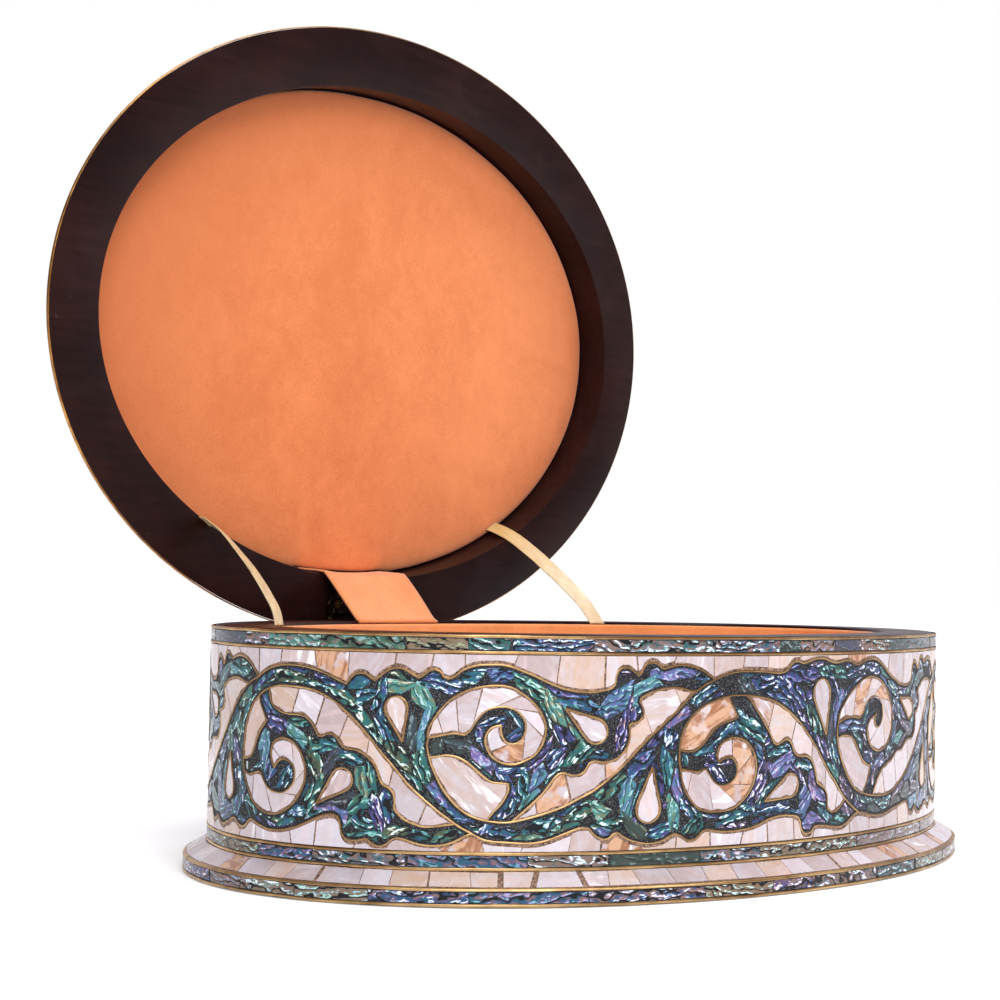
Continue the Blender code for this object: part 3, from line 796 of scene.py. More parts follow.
# The vine
# A scroll of curls, leaves and drops runs round the wall, laid by hand, so no two halves are quite alike.
# Four halves lie as they do in the photograph, in millimetres along the wall and up from the table, and
# are laid again, slightly closer, on the two sides that it hides.
LINE_STEP = 1.2
INSIDE_WIRE = 0.72
UNEVEN = 0.65
JOINT = (0.2, 0.75)
INLAY_STEP = 0.8
INLAY_NARROW = 1.5
DROP_STEPS = 6
BORDER_LENGTHS = (9.0, 14.5)
BORDER_SHORTEST = 6.0
BORDER_LEAN = 1.1
BORDER_ROOM = 0.3
BORDER_TRIM = 0.12
VINE_WIRE = 0.55
CYCLE_FROM = -210.4
CYCLE = 285.0
CYCLES = 3
VINE_HALVES = [
    {
        "curl_outside": [
            (-217.8, 33.6), (-216.8, 31.5), (-215.9, 30.0), (-214.1, 27.2), (-211.8, 25.0), (-209.1, 23.4),
            (-205.9, 22.5), (-202.7, 22.3), (-199.5, 23.1), (-196.8, 24.5), (-194.5, 26.5), (-192.7, 28.8),
            (-191.4, 31.5), (-190.8, 34.7), (-191.4, 37.9), (-192.7, 40.6), (-195.0, 42.9), (-197.7, 44.0),
            (-200.0, 44.2), (-202.3, 43.4), (-203.7, 41.8), (-204.1, 39.7), (-203.7, 37.5), (-202.7, 35.4),
        ],
        "curl_inside": [
            (-217.8, 33.6), (-214.5, 32.8), (-211.8, 33.4), (-209.5, 33.9), (-208.4, 33.6), (-207.3, 31.8),
            (-205.5, 29.7), (-203.2, 28.8), (-200.9, 28.5), (-198.6, 28.8), (-196.6, 30.0), (-195.2, 31.5),
            (-194.6, 33.4), (-194.8, 35.6), (-195.9, 37.2), (-198.2, 38.1), (-200.2, 37.9), (-201.7, 36.8),
            (-202.7, 35.4),
        ],
        "stem": [
            (-217.8, 33.6), (-218.4, 36.5), (-218.4, 39.7), (-218.1, 42.5), (-217.6, 45.2), (-216.7, 47.9),
            (-215.4, 50.3), (-213.7, 52.7), (-211.6, 54.6), (-209.3, 56.2), (-206.6, 57.6), (-203.6, 58.5),
            (-200.0, 59.0), (-196.4, 59.0), (-192.7, 58.8), (-189.5, 58.4), (-186.8, 57.7), (-184.1, 56.6),
            (-181.4, 55.1), (-178.6, 53.1), (-175.9, 50.8), (-173.2, 48.2), (-170.5, 45.2), (-167.7, 41.9),
            (-165.2, 39.3), (-162.7, 36.5), (-160.0, 33.4), (-156.8, 30.4), (-153.9, 28.0), (-150.9, 25.6),
            (-148.2, 23.7), (-145.2, 21.6), (-141.6, 19.7),
        ],
        "small_leaf": [
            (-218.3, 37.2), (-216.4, 37.4), (-214.1, 38.1), (-212.8, 39.0), (-212.0, 40.6), (-210.9, 42.9),
            (-209.5, 45.2), (-208.0, 47.0), (-206.3, 48.7), (-206.3, 48.7), (-207.0, 49.7), (-208.3, 51.8),
            (-209.5, 53.6), (-210.0, 55.7),
        ],
        "long_leaf": [
            (-205.5, 58.0), (-204.9, 55.4), (-204.0, 53.6), (-202.5, 52.5), (-200.5, 51.6), (-198.2, 51.1),
            (-195.5, 51.0), (-192.7, 50.9), (-190.5, 50.1), (-188.9, 48.8), (-187.7, 47.0), (-186.6, 45.4),
            (-185.2, 45.4), (-184.1, 46.0), (-182.3, 46.1), (-180.7, 45.2), (-179.8, 43.8), (-178.6, 42.5),
            (-176.8, 42.2), (-174.5, 41.9), (-172.3, 40.9), (-170.0, 39.0), (-168.6, 37.0), (-167.8, 34.7),
            (-166.9, 32.8), (-165.0, 31.8), (-163.6, 30.2), (-163.2, 28.4), (-163.3, 26.1), (-161.8, 24.3),
            (-160.0, 22.9), (-157.7, 22.0), (-155.0, 21.3), (-151.8, 21.5), (-149.5, 21.8), (-146.1, 22.3),
        ],
        "drops": [((-179.0, 33.5), (-186.9, 26.5), 3.3), ((-228.5, 28.5), (-228.0, 38.5), 3.6)],
    },
    {
        "curl_outside": [
            (-154.1, 45.9), (-154.3, 47.2), (-153.9, 48.8), (-153.0, 50.6), (-150.9, 53.8), (-148.2, 56.6),
            (-145.0, 58.5), (-141.8, 59.8), (-138.2, 60.5), (-134.1, 60.7), (-130.9, 60.1), (-128.2, 58.7),
            (-125.5, 56.7), (-123.2, 54.2), (-121.7, 51.5), (-121.1, 48.8), (-121.6, 45.9), (-122.7, 43.4),
            (-124.5, 41.3), (-126.8, 40.0), (-129.5, 39.0), (-132.3, 39.0), (-134.5, 39.7), (-136.4, 41.1),
            (-137.6, 42.9), (-138.3, 45.2), (-138.0, 47.2), (-136.6, 49.0), (-133.9, 49.7),
        ],
        "curl_inside": [
            (-154.1, 45.9), (-150.0, 46.8), (-146.8, 47.3), (-144.1, 46.9), (-142.7, 47.9), (-141.6, 49.7),
            (-140.0, 52.0), (-137.7, 54.0), (-134.5, 54.8), (-131.8, 54.7), (-129.5, 53.8), (-127.7, 52.0),
            (-126.8, 49.7), (-127.3, 47.0), (-128.6, 45.2), (-130.5, 44.5), (-132.3, 45.0), (-133.4, 46.5),
            (-133.9, 48.4), (-133.9, 49.7),
        ],
        "stem": [
            (-154.1, 45.9), (-154.4, 44.2), (-154.1, 42.0), (-153.2, 38.8), (-151.8, 35.6), (-150.2, 32.5),
            (-148.2, 29.7), (-145.9, 27.2), (-143.2, 25.2), (-140.5, 24.0), (-137.7, 23.3), (-135.0, 22.9),
            (-131.8, 22.8), (-128.6, 23.3), (-124.5, 24.3), (-120.0, 25.6), (-115.5, 27.2), (-111.4, 29.2),
            (-107.3, 31.2), (-104.5, 33.0), (-101.8, 35.0), (-99.1, 37.2), (-96.4, 39.6), (-94.1, 41.9),
            (-91.4, 44.5), (-88.6, 46.9), (-85.9, 49.1), (-83.2, 51.4), (-80.9, 53.1), (-78.2, 55.6),
            (-75.7, 57.9), (-73.2, 59.5), (-70.5, 61.1), (-67.0, 62.5),
        ],
        "small_leaf": [
            (-154.0, 40.6), (-151.8, 40.8), (-149.5, 41.2), (-147.3, 41.1), (-145.0, 40.4), (-142.7, 39.0),
            (-140.5, 37.1), (-138.2, 35.2), (-136.4, 34.0), (-134.1, 33.7), (-131.6, 33.5), (-131.6, 33.5),
            (-131.5, 32.0), (-132.3, 30.0), (-133.6, 27.9), (-135.5, 25.9), (-137.5, 23.3),
        ],
        "long_leaf": [
            (-130.7, 22.9), (-128.6, 24.7), (-126.4, 26.5), (-124.3, 28.4), (-122.0, 30.6), (-120.0, 33.1),
            (-118.6, 35.0), (-117.3, 36.2), (-115.5, 36.5), (-113.4, 35.9), (-111.4, 35.9), (-109.5, 37.0),
            (-108.2, 39.2), (-106.6, 39.8), (-104.3, 39.5), (-101.8, 39.7), (-99.5, 40.5), (-97.3, 42.5),
            (-96.1, 44.7), (-95.7, 47.0), (-95.9, 49.5), (-95.4, 50.2), (-95.4, 50.2), (-93.1, 50.7),
            (-91.5, 52.5), (-91.6, 54.5), (-92.7, 56.3), (-92.7, 56.3), (-92.5, 57.2), (-90.5, 58.4),
            (-87.7, 59.4), (-85.0, 60.1), (-81.4, 60.4), (-78.2, 60.0), (-75.5, 59.3), (-73.3, 59.4),
        ],
        "drops": [((-163.3, 53.9), (-161.4, 44.7), 3.3), ((-106.4, 48.2), (-115.5, 54.4), 3.6)],
    },
    {
        "curl_outside": [
            (-78.9, 37.2), (-78.6, 35.6), (-78.2, 33.4), (-77.3, 30.9), (-75.7, 28.6), (-73.6, 26.5),
            (-71.4, 25.2), (-68.6, 24.6), (-65.2, 24.5), (-62.3, 24.7), (-59.1, 25.4), (-56.4, 27.0),
            (-53.9, 29.0), (-52.0, 31.5), (-50.9, 34.3), (-50.5, 37.0), (-50.9, 39.7), (-52.3, 42.2),
            (-54.5, 44.3), (-57.0, 45.4), (-59.8, 45.7), (-62.3, 45.2), (-64.5, 43.8), (-65.7, 42.0),
            (-65.8, 40.2), (-65.0, 38.7),
        ],
        "curl_inside": [
            (-78.9, 37.2), (-75.9, 36.6), (-72.7, 36.2), (-70.9, 36.8), (-69.8, 36.8), (-68.9, 35.4),
            (-67.3, 33.4), (-65.5, 32.2), (-63.2, 31.9), (-60.9, 32.5), (-59.1, 33.8), (-58.2, 35.6),
            (-58.3, 37.5), (-59.1, 39.0), (-60.7, 40.0), (-62.3, 40.0), (-63.9, 39.5), (-65.0, 38.7),
        ],
        "stem": [
            (-78.9, 37.2), (-79.3, 39.3), (-79.3, 42.0), (-79.1, 44.7), (-78.4, 47.0), (-77.3, 49.3),
            (-75.5, 51.5), (-73.2, 53.6), (-70.5, 55.2), (-67.3, 56.3), (-64.1, 57.2), (-60.9, 57.8),
            (-57.7, 57.9), (-54.5, 57.8), (-50.9, 57.5), (-47.7, 57.0), (-44.5, 56.3), (-41.8, 55.4),
            (-39.1, 54.1), (-36.4, 52.6), (-33.6, 50.8), (-30.9, 48.8), (-28.2, 46.3), (-25.9, 44.0),
            (-23.6, 41.7), (-21.4, 39.2), (-19.1, 36.5), (-16.4, 33.5), (-13.6, 31.0), (-10.9, 28.1),
            (-8.2, 25.7), (-5.5, 23.9), (-2.6, 22.2), (0.5, 20.7),
        ],
        "small_leaf": [
            (-79.2, 42.7), (-77.3, 42.1), (-75.0, 42.1), (-73.0, 42.7), (-70.9, 44.2), (-69.1, 46.2),
            (-67.3, 48.0), (-65.2, 49.3), (-63.0, 50.2), (-60.7, 50.7), (-58.2, 51.6), (-58.2, 51.6),
            (-59.1, 53.1), (-60.5, 55.2), (-61.7, 57.7),
        ],
        "long_leaf": [
            (-54.9, 57.8), (-52.7, 56.0), (-50.7, 53.6), (-48.4, 50.9), (-46.4, 48.4), (-44.5, 45.9),
            (-43.1, 43.6), (-41.8, 43.1), (-40.0, 43.9), (-37.7, 44.5), (-35.9, 43.8), (-34.8, 42.2),
            (-34.1, 40.6), (-32.5, 39.5), (-30.2, 39.3), (-27.7, 39.0), (-25.5, 37.6), (-24.1, 35.2),
            (-23.3, 32.7), (-22.5, 30.9), (-20.5, 29.9), (-18.7, 28.8), (-17.6, 27.0), (-17.4, 24.7),
            (-17.4, 23.1), (-16.0, 22.0), (-13.9, 21.8), (-11.1, 22.7), (-7.7, 25.3),
        ],
        "drops": [((-89.5, 26.1), (-88.3, 37.8), 4.0), ((-35.7, 30.9), (-47.0, 26.6), 3.5)],
    },
    {
        "curl_outside": [
            (-11.9, 48.6), (-11.7, 50.2), (-10.5, 52.5), (-8.4, 54.7), (-5.9, 57.0), (-3.0, 59.0),
            (0.0, 60.3), (2.7, 61.5), (5.5, 62.1), (8.2, 62.3), (10.9, 61.9), (14.1, 61.1), (17.3, 59.5),
            (20.0, 57.2), (22.0, 54.5), (23.3, 51.5), (23.7, 48.4), (23.3, 45.2), (21.8, 42.5),
            (19.5, 40.6), (16.8, 39.5), (13.6, 38.9), (10.7, 39.4), (8.2, 40.6), (6.4, 42.9), (5.7, 45.2),
            (6.0, 47.2), (7.3, 48.8), (9.1, 49.6), (11.9, 50.6),
        ],
        "curl_inside": [
            (-11.9, 48.6), (-9.5, 49.4), (-7.0, 50.0), (-4.3, 50.2), (-2.3, 50.0), (0.0, 49.7), (1.5, 50.1),
            (2.8, 51.3), (4.3, 53.5), (6.1, 55.0), (8.6, 56.0), (11.4, 56.0), (13.7, 55.2), (15.5, 53.4),
            (16.3, 51.1), (15.9, 48.8), (14.6, 47.0), (12.8, 46.3), (11.1, 47.2), (10.7, 49.0),
            (11.9, 50.6),
        ],
        "stem": [
            (-11.9, 48.6), (-12.5, 46.5), (-12.3, 43.8), (-11.6, 41.1), (-10.5, 38.4), (-8.9, 35.6),
            (-7.0, 32.9), (-5.0, 30.6), (-2.7, 28.6), (0.0, 27.2), (2.7, 26.5), (5.9, 25.8), (9.5, 25.3),
            (13.2, 25.0), (16.8, 24.9), (20.5, 25.1), (24.1, 25.7), (26.8, 26.6), (29.5, 27.9),
            (32.7, 29.0), (35.9, 30.9), (38.6, 32.7), (41.8, 35.0), (45.0, 37.5), (47.7, 40.0),
            (50.5, 42.5), (53.6, 45.6), (56.8, 48.8), (60.0, 52.0), (63.2, 55.0), (66.4, 57.4),
            (70.0, 59.5), (74.6, 61.1),
        ],
        "small_leaf": [
            (-12.3, 43.9), (-10.0, 44.5), (-7.3, 44.6), (-5.0, 44.2), (-3.2, 43.3), (-1.1, 41.1),
            (0.7, 38.6), (2.7, 36.6), (5.0, 35.3), (7.7, 34.5), (7.7, 34.5), (7.3, 32.9), (6.1, 30.4),
            (4.3, 28.1), (3.1, 26.4),
        ],
        "long_leaf": [
            (9.6, 25.3), (10.5, 27.0), (11.9, 28.9), (13.6, 31.0), (15.5, 32.6), (17.7, 33.8), (20.5, 34.9),
            (23.2, 35.6), (25.5, 36.9), (27.7, 38.1), (30.5, 38.4), (32.7, 38.6), (34.8, 40.1),
            (36.8, 41.3), (39.8, 41.5), (42.7, 41.6), (45.0, 42.9), (46.1, 44.7), (46.6, 47.0),
            (46.4, 49.5), (46.9, 50.2), (46.9, 50.2), (49.2, 50.7), (50.8, 52.5), (50.7, 54.5),
            (49.5, 56.3), (49.5, 56.3), (49.8, 57.2), (51.8, 58.4), (54.5, 59.4), (57.3, 60.1),
            (60.9, 60.4), (64.1, 60.0), (66.8, 59.3), (69.0, 59.0),
        ],
        "drops": [((-20.8, 57.8), (-18.5, 45.2), 4.3), ((39.8, 51.3), (30.2, 55.1), 3.4)],
    },
]
UPPER_EDGE = [
    (-210.4, 61.1), (-208.2, 62.5), (-205.5, 63.7), (-202.7, 64.5), (-200.0, 64.9), (-196.8, 65.0),
    (-193.6, 64.9), (-190.5, 64.5), (-187.3, 63.8), (-184.5, 62.9), (-181.8, 61.8), (-180.0, 61.1),
    (-178.2, 60.3), (-178.2, 60.3), (-177.0, 61.8), (-175.7, 63.0), (-173.9, 63.5), (-172.0, 63.1),
    (-170.5, 62.0), (-169.5, 61.5), (-169.5, 61.5), (-167.7, 63.1), (-165.5, 64.6), (-163.2, 65.2),
    (-160.9, 64.7), (-159.1, 63.6), (-157.0, 62.5), (-157.0, 62.5), (-155.7, 63.4), (-154.3, 64.5),
    (-152.7, 65.0), (-151.1, 64.4), (-150.0, 62.9), (-148.7, 62.4), (-148.7, 62.4), (-147.0, 63.1),
    (-145.5, 64.5), (-143.2, 65.6), (-140.5, 66.3), (-137.3, 66.5), (-134.1, 66.5), (-130.9, 65.9),
    (-127.7, 64.7), (-124.5, 63.5), (-121.8, 62.2), (-119.1, 61.1), (-116.4, 60.1), (-113.6, 59.5),
    (-110.0, 59.1), (-107.3, 59.1), (-104.5, 59.5), (-101.8, 60.1), (-100.7, 61.1), (-100.5, 62.9),
    (-99.8, 65.0), (-98.2, 66.0), (-96.4, 66.0), (-94.8, 65.0), (-93.2, 63.8), (-93.2, 63.8), (-92.3, 64.5),
    (-91.6, 66.1), (-90.5, 67.1), (-88.9, 67.5), (-87.3, 67.2), (-85.9, 66.1), (-84.8, 65.7), (-84.8, 65.7),
    (-83.2, 66.2), (-80.9, 66.7), (-78.2, 66.8), (-75.0, 66.3), (-71.8, 65.3), (-69.5, 64.0), (-67.0, 62.5),
    (-67.0, 62.5), (-64.5, 63.4), (-61.8, 64.2), (-58.6, 64.7), (-55.5, 64.9), (-50.9, 64.8), (-46.4, 64.6),
    (-41.8, 64.2), (-39.5, 64.4), (-37.7, 65.0), (-36.1, 66.5), (-34.5, 67.4), (-32.3, 67.5), (-30.2, 66.9),
    (-30.2, 66.9), (-28.2, 67.3), (-25.9, 67.9), (-23.6, 68.3), (-20.9, 68.3), (-19.1, 68.1), (-16.8, 67.5),
    (-14.5, 67.0), (-11.8, 67.0), (-9.1, 67.5), (-6.4, 67.5), (-4.5, 67.0), (-2.3, 66.3), (0.0, 66.3),
    (2.3, 67.0), (5.0, 67.5), (7.7, 67.8), (10.5, 67.7), (13.2, 66.9), (16.4, 65.4), (20.0, 63.4),
    (23.2, 61.9), (26.8, 60.6), (29.5, 59.6), (33.2, 59.0), (35.9, 58.8), (39.1, 59.2), (40.7, 60.1),
    (41.6, 61.1), (41.8, 62.9), (42.5, 65.0), (44.1, 66.0), (45.9, 66.0), (47.5, 65.0), (49.1, 63.8),
    (49.1, 63.8), (50.0, 64.5), (50.7, 66.1), (51.8, 67.1), (53.4, 67.5), (55.0, 67.2), (56.4, 66.1),
    (57.5, 65.7), (57.5, 65.7), (59.1, 66.2), (61.4, 66.7), (64.1, 66.8), (67.3, 66.1), (70.5, 64.5),
    (72.7, 62.7), (74.6, 61.1),
]
LOWER_EDGE = [
    (-210.4, 19.4), (-209.5, 19.0), (-207.3, 18.4), (-204.5, 17.9), (-201.8, 17.9), (-199.1, 18.1),
    (-196.4, 18.7), (-193.6, 19.5), (-190.9, 20.6), (-188.2, 21.8), (-185.9, 22.9), (-183.6, 23.6),
    (-181.4, 23.8), (-180.0, 23.1), (-179.3, 21.5), (-179.1, 19.7), (-178.2, 17.9), (-176.6, 16.9),
    (-174.1, 16.9), (-171.4, 17.5), (-171.4, 17.5), (-170.0, 16.5), (-168.2, 15.6), (-166.4, 15.7),
    (-165.0, 16.5), (-163.6, 17.7), (-162.5, 18.1), (-162.5, 18.1), (-160.5, 17.7), (-157.7, 16.8),
    (-154.5, 16.2), (-150.9, 16.2), (-147.7, 16.9), (-145.0, 18.1), (-143.2, 19.1), (-141.6, 19.7),
    (-141.6, 19.7), (-140.0, 18.8), (-138.2, 18.0), (-135.5, 17.5), (-132.3, 17.3), (-129.1, 17.1),
    (-125.9, 17.0), (-123.2, 17.2), (-120.0, 17.9), (-116.8, 19.0), (-113.6, 20.2), (-110.9, 21.1),
    (-109.5, 21.2), (-108.2, 21.1), (-107.3, 20.2), (-105.9, 18.8), (-103.6, 17.9), (-101.8, 18.1),
    (-100.5, 19.3), (-99.5, 19.7), (-99.5, 19.7), (-98.2, 19.0), (-95.9, 17.7), (-92.7, 16.8),
    (-89.5, 16.3), (-86.8, 16.5), (-84.1, 17.2), (-81.8, 18.4), (-80.5, 18.9), (-80.5, 18.9), (-78.6, 18.1),
    (-76.4, 16.8), (-74.1, 16.8), (-72.3, 17.7), (-70.9, 19.0), (-69.5, 19.6), (-69.5, 19.6), (-67.7, 19.3),
    (-64.5, 18.8), (-60.9, 18.6), (-56.4, 18.8), (-52.7, 19.2), (-49.1, 20.0), (-45.9, 21.1), (-42.7, 21.8),
    (-39.5, 22.1), (-36.4, 22.0), (-33.6, 21.7), (-31.8, 21.1), (-30.9, 19.7), (-30.5, 17.7), (-29.1, 16.3),
    (-27.3, 16.1), (-25.5, 16.5), (-24.3, 17.9), (-24.3, 17.9), (-22.3, 18.1), (-20.0, 18.0), (-17.3, 17.7),
    (-14.1, 17.2), (-11.8, 17.0), (-9.1, 17.2), (-6.4, 18.1), (-3.6, 19.5), (-1.6, 20.4), (0.5, 20.7),
    (0.5, 20.7), (4.1, 20.2), (7.3, 19.5), (10.5, 19.0), (14.1, 18.9), (17.7, 19.0), (21.4, 19.5),
    (24.5, 20.1), (27.7, 20.5), (30.9, 20.9), (34.1, 21.5), (36.8, 21.6), (38.4, 20.6), (39.3, 19.0),
    (40.9, 17.9), (43.2, 17.7), (45.0, 18.4), (46.4, 19.3), (46.4, 19.3), (48.2, 18.1), (50.9, 17.0),
    (53.6, 17.2), (55.0, 17.9), (55.0, 17.9), (56.8, 17.9), (58.6, 19.0), (60.5, 19.5), (62.3, 19.3),
    (64.1, 18.1), (66.4, 17.5), (68.6, 17.9), (70.5, 19.5), (72.0, 20.2), (73.6, 19.7), (74.6, 19.4),
]


def along_wall(place):
    """The distance along the wall of a place in the drawing, which is squeezed on the hidden sides."""
    turn, rest = divmod(place - CYCLE_FROM, CYCLES * CYCLE)
    squeeze = (ROUND - CYCLE) / ((CYCLES - 1) * CYCLE)
    return CYCLE_FROM + turn * ROUND + min(rest, CYCLE) + max(0.0, rest - CYCLE) * squeeze


def drawn(cycle, points):
    """A smooth line through points of the drawing, put in their place on the wall in one of its cycles."""
    placed = [Vector((along_wall(along + cycle * CYCLE), height)) for along, height in points]
    return [(point.x, point.y) for point in smooth_line(placed, LINE_STEP)]


def part_between(line, first, last):
    """The part of a line from beside one place to beside another, with those places as its ends."""
    start = min(range(len(line)), key=lambda index: math.dist(line[index], first))
    end = min(range(len(line)), key=lambda index: math.dist(line[index], last))
    return [first] + line[start + 1:end] + [last]


def drop_sides(head, tip, radius):
    """The two sides of a drop, each from its tip round to the far end of its head."""
    way = Vector(head) - Vector(tip)
    reach = way.length
    way.normalize()
    left = Vector((-way.y, way.x))
    meet = math.acos(radius / reach)
    sides = []
    for hand in (1, -1):
        side = [Vector(tip)]
        for step in range(DROP_STEPS + 1):
            angle = math.pi - meet - (math.pi - meet) * step / DROP_STEPS
            side.append(Vector(head) + radius * (math.cos(angle) * way + hand * math.sin(angle) * left))
        sides.append([(point.x, point.y) for point in side])
    return sides


def even_places(line, count):
    """Places spread evenly along a line."""
    runs = [0.0]
    for first, second in zip(line, line[1:]):
        runs.append(runs[-1] + math.dist(first, second))
    places = []
    for number in range(count):
        run = runs[-1] * number / (count - 1)
        low = min(len(line) - 2, max(0, bisect_right(runs, run) - 1))
        share = (run - runs[low]) / max(1e-9, runs[low + 1] - runs[low])
        before, after = line[low], line[low + 1]
        places.append(tuple(before[axis] + share * (after[axis] - before[axis]) for axis in (0, 1)))
    return places, runs[-1]


def inlay_between(chips, backing, first_side, second_side, low, high):
    """Shell fitted between two sides, sawn across into chips from low to high long, on brown filler."""
    _, long_way = even_places(first_side, 2)
    _, short_way = even_places(second_side, 2)
    run = max(long_way, short_way)
    count = max(8, round(run / INLAY_STEP))
    outer, _ = even_places(first_side, count)
    inner, _ = even_places(second_side, count)
    rows = []
    for one, other in zip(outer, inner):
        wide = math.dist(one, other)
        shares = []
        for end in (one, other):
            gap = INSIDE_WIRE + UNEVEN * noise.noise(Vector((end[0] * 0.35, end[1] * 0.35, 2.0)))
            shares.append(0.5 if wide < 2.2 * INSIDE_WIRE else gap / wide)
        near = tuple(one[axis] + shares[0] * (other[axis] - one[axis]) for axis in (0, 1))
        far = tuple(other[axis] + shares[1] * (one[axis] - other[axis]) for axis in (0, 1))
        rows.append((near, far, wide))
    backing.chip([
        [outer[index], outer[index + 1], inner[index + 1], inner[index]] for index in range(count - 1)
    ], BACKING_RISE, 0.0)
    chance = chips.chance
    start = 0
    while start < count - 1:
        length = chance.uniform(low, high)
        end = min(count - 1, start + max(2, round(length / run * (count - 1))))
        if count - 1 - end < 0.5 * low / run * count:
            end = count - 1
        trim = chance.uniform(*JOINT) / 2 / (run / (count - 1))
        quads = []
        for index in range(start, end):
            if max(rows[index][2], rows[index + 1][2]) < INLAY_NARROW:
                continue
            head = trim if index == start else 0.0
            tail = 1 - trim if index == end - 1 else 1.0
            corners = []
            for side, share in ((0, head), (0, tail), (1, tail), (1, head)):
                near, far = rows[index][side], rows[index + 1][side]
                corners.append(tuple(near[axis] + share * (far[axis] - near[axis]) for axis in (0, 1)))
            quads.append(corners)
        middle = (start + end) // 2
        lean = math.atan2(
            outer[min(count - 1, middle + 1)][1] - outer[middle][1],
            outer[min(count - 1, middle + 1)][0] - outer[middle][0],
        )
        chips.chip(quads, PEARL_RISE, lean + chance.uniform(-0.4, 0.4))
        start = end


def height_at(edge, along):
    """How high an edge line is at a distance along the wall."""
    start = edge[0][0]
    along = start + (along - start) % ROUND
    places = [point[0] for point in edge]
    low = min(len(edge) - 2, max(0, bisect_right(places, along) - 1))
    share = (along - edge[low][0]) / max(1e-9, edge[low + 1][0] - edge[low][0])
    return edge[low][1] + share * (edge[low + 1][1] - edge[low][1])


def border_chips(chips, backing, edge, level):
    """A row of pearl chips between an edge of the vine and the wire at the field's top or bottom."""
    way = 1 if level > edge[0][1] else -1
    chance = chips.chance
    for first, second in zip(edge, edge[1:]):
        backing.chip([[first, second, (second[0], level), (first[0], level)]], BACKING_RISE, 0.0)
    start = edge[0][0]
    finish = edge[-1][0]
    lean = 0.0
    while start < finish - 0.5:
        end = start + chance.uniform(*BORDER_LENGTHS)
        if finish - end < BORDER_SHORTEST:
            end = finish
        next_lean = 0.0 if end == finish else chance.uniform(-BORDER_LEAN, BORDER_LEAN)
        low_start, low_end = start + chance.uniform(*JOINT) / 2, end - chance.uniform(*JOINT) / 2
        inside = [point for point in edge if low_start < point[0] < low_end]
        ends = [(low_start, height_at(edge, low_start)), (low_end, height_at(edge, low_end - 0.001))]
        lift = INSIDE_WIRE + chance.uniform(-0.1, UNEVEN)
        limit = level - way * BORDER_ROOM
        near = []
        for along, height in ends[:1] + inside + ends[1:]:
            lifted = min(height + lift, limit) if way > 0 else max(height - lift, limit)
            near.append((along, lifted))
        far = []
        for along, _ in near:
            share = (along - low_start) / (low_end - low_start)
            far.append((along + lean + share * (next_lean - lean), level - way * BORDER_TRIM))
        quads = [[near[index], near[index + 1], far[index + 1], far[index]] for index in range(len(near) - 1)]
        chips.chip(quads, PEARL_RISE, math.pi / 2 + chance.uniform(-0.5, 0.5))
        start = end
        lean = next_lean


curls = Layout(11)
leaves = Layout(12)
drops = Layout(13)
borders = Layout(14)
backings = Layout(15)
vine_wires = Layout(16)
wire_lines = []
upper_edge = []
lower_edge = []
for cycle in range(CYCLES):
    for half in VINE_HALVES:
        outside = drawn(cycle, half["curl_outside"])
        inside = drawn(cycle, half["curl_inside"])
        stem = drawn(cycle, half["stem"])
        small_leaf = drawn(cycle, half["small_leaf"])
        long_leaf = drawn(cycle, half["long_leaf"])
        inlay_between(curls, backings, outside, inside, 7.0, 12.0)
        under_small = part_between(stem, small_leaf[0], small_leaf[-1])
        inlay_between(leaves, backings, small_leaf, under_small, 40.0, 60.0)
        under_long = part_between(stem, long_leaf[0], long_leaf[-1])
        inlay_between(leaves, backings, long_leaf, under_long, 9.0, 15.0)
        for head, tip, radius in half["drops"]:
            left, right = (drawn(cycle, side) for side in drop_sides(head, tip, radius))
            inlay_between(drops, backings, left, right, 20.0, 30.0)
            wire_lines.append(left + right[-2:0:-1] + [left[0]])
        wire_lines += [outside, inside, stem, small_leaf, long_leaf]
    upper_edge += drawn(cycle, UPPER_EDGE)[:-1]
    lower_edge += drawn(cycle, LOWER_EDGE)[:-1]
for line in wire_lines:
    vine_wires.wire(line, VINE_WIRE)
vine_wires.wire(upper_edge, VINE_WIRE, closed=True)
vine_wires.wire(lower_edge, VINE_WIRE, closed=True)
upper_edge.append((upper_edge[0][0] + ROUND, upper_edge[0][1]))
lower_edge.append((lower_edge[0][0] + ROUND, lower_edge[0][1]))
border_chips(borders, backings, upper_edge, FIELD_TOP)
border_chips(borders, backings, lower_edge, FIELD_BOTTOM)


# The abalone strips of the vine's ground
# Strips about 14 by 5 mm are cut to fit one another and run with the nearest wire. Black filler is left
# round them, and a bed of it lies along every wire.
STRIP_LONG = 2.6
STRIP_HALF_LENGTH = 8.2
STRIP_HALF_WIDTH = 2.9
STRIP_LENGTHS = (0.85, 1.2)
STRIP_WIDTHS = (0.85, 1.1)
STRIP_GAP = 0.45
STRIP_TRIM = 0.3
STRIP_MARGIN = 3.0
STRIP_ROOM = 46.0
CELL_HALF = 4.5
SETTLING = 5
NEAR = 21.0
BED_SIZE = 2.3
GROUND_THICK = 0.0010


def clip(outline, way, limit):
    """The part of an outline on the near side of a line across a direction."""
    kept = []
    for index, point in enumerate(outline):
        after = outline[(index + 1) % len(outline)]
        depth = point[0] * way[0] + point[1] * way[1] - limit
        next_depth = after[0] * way[0] + after[1] * way[1] - limit
        if depth <= 0:
            kept.append(point)
        if depth * next_depth < 0:
            share = depth / (depth - next_depth)
            kept.append((point[0] + share * (after[0] - point[0]), point[1] + share * (after[1] - point[1])))
    return kept


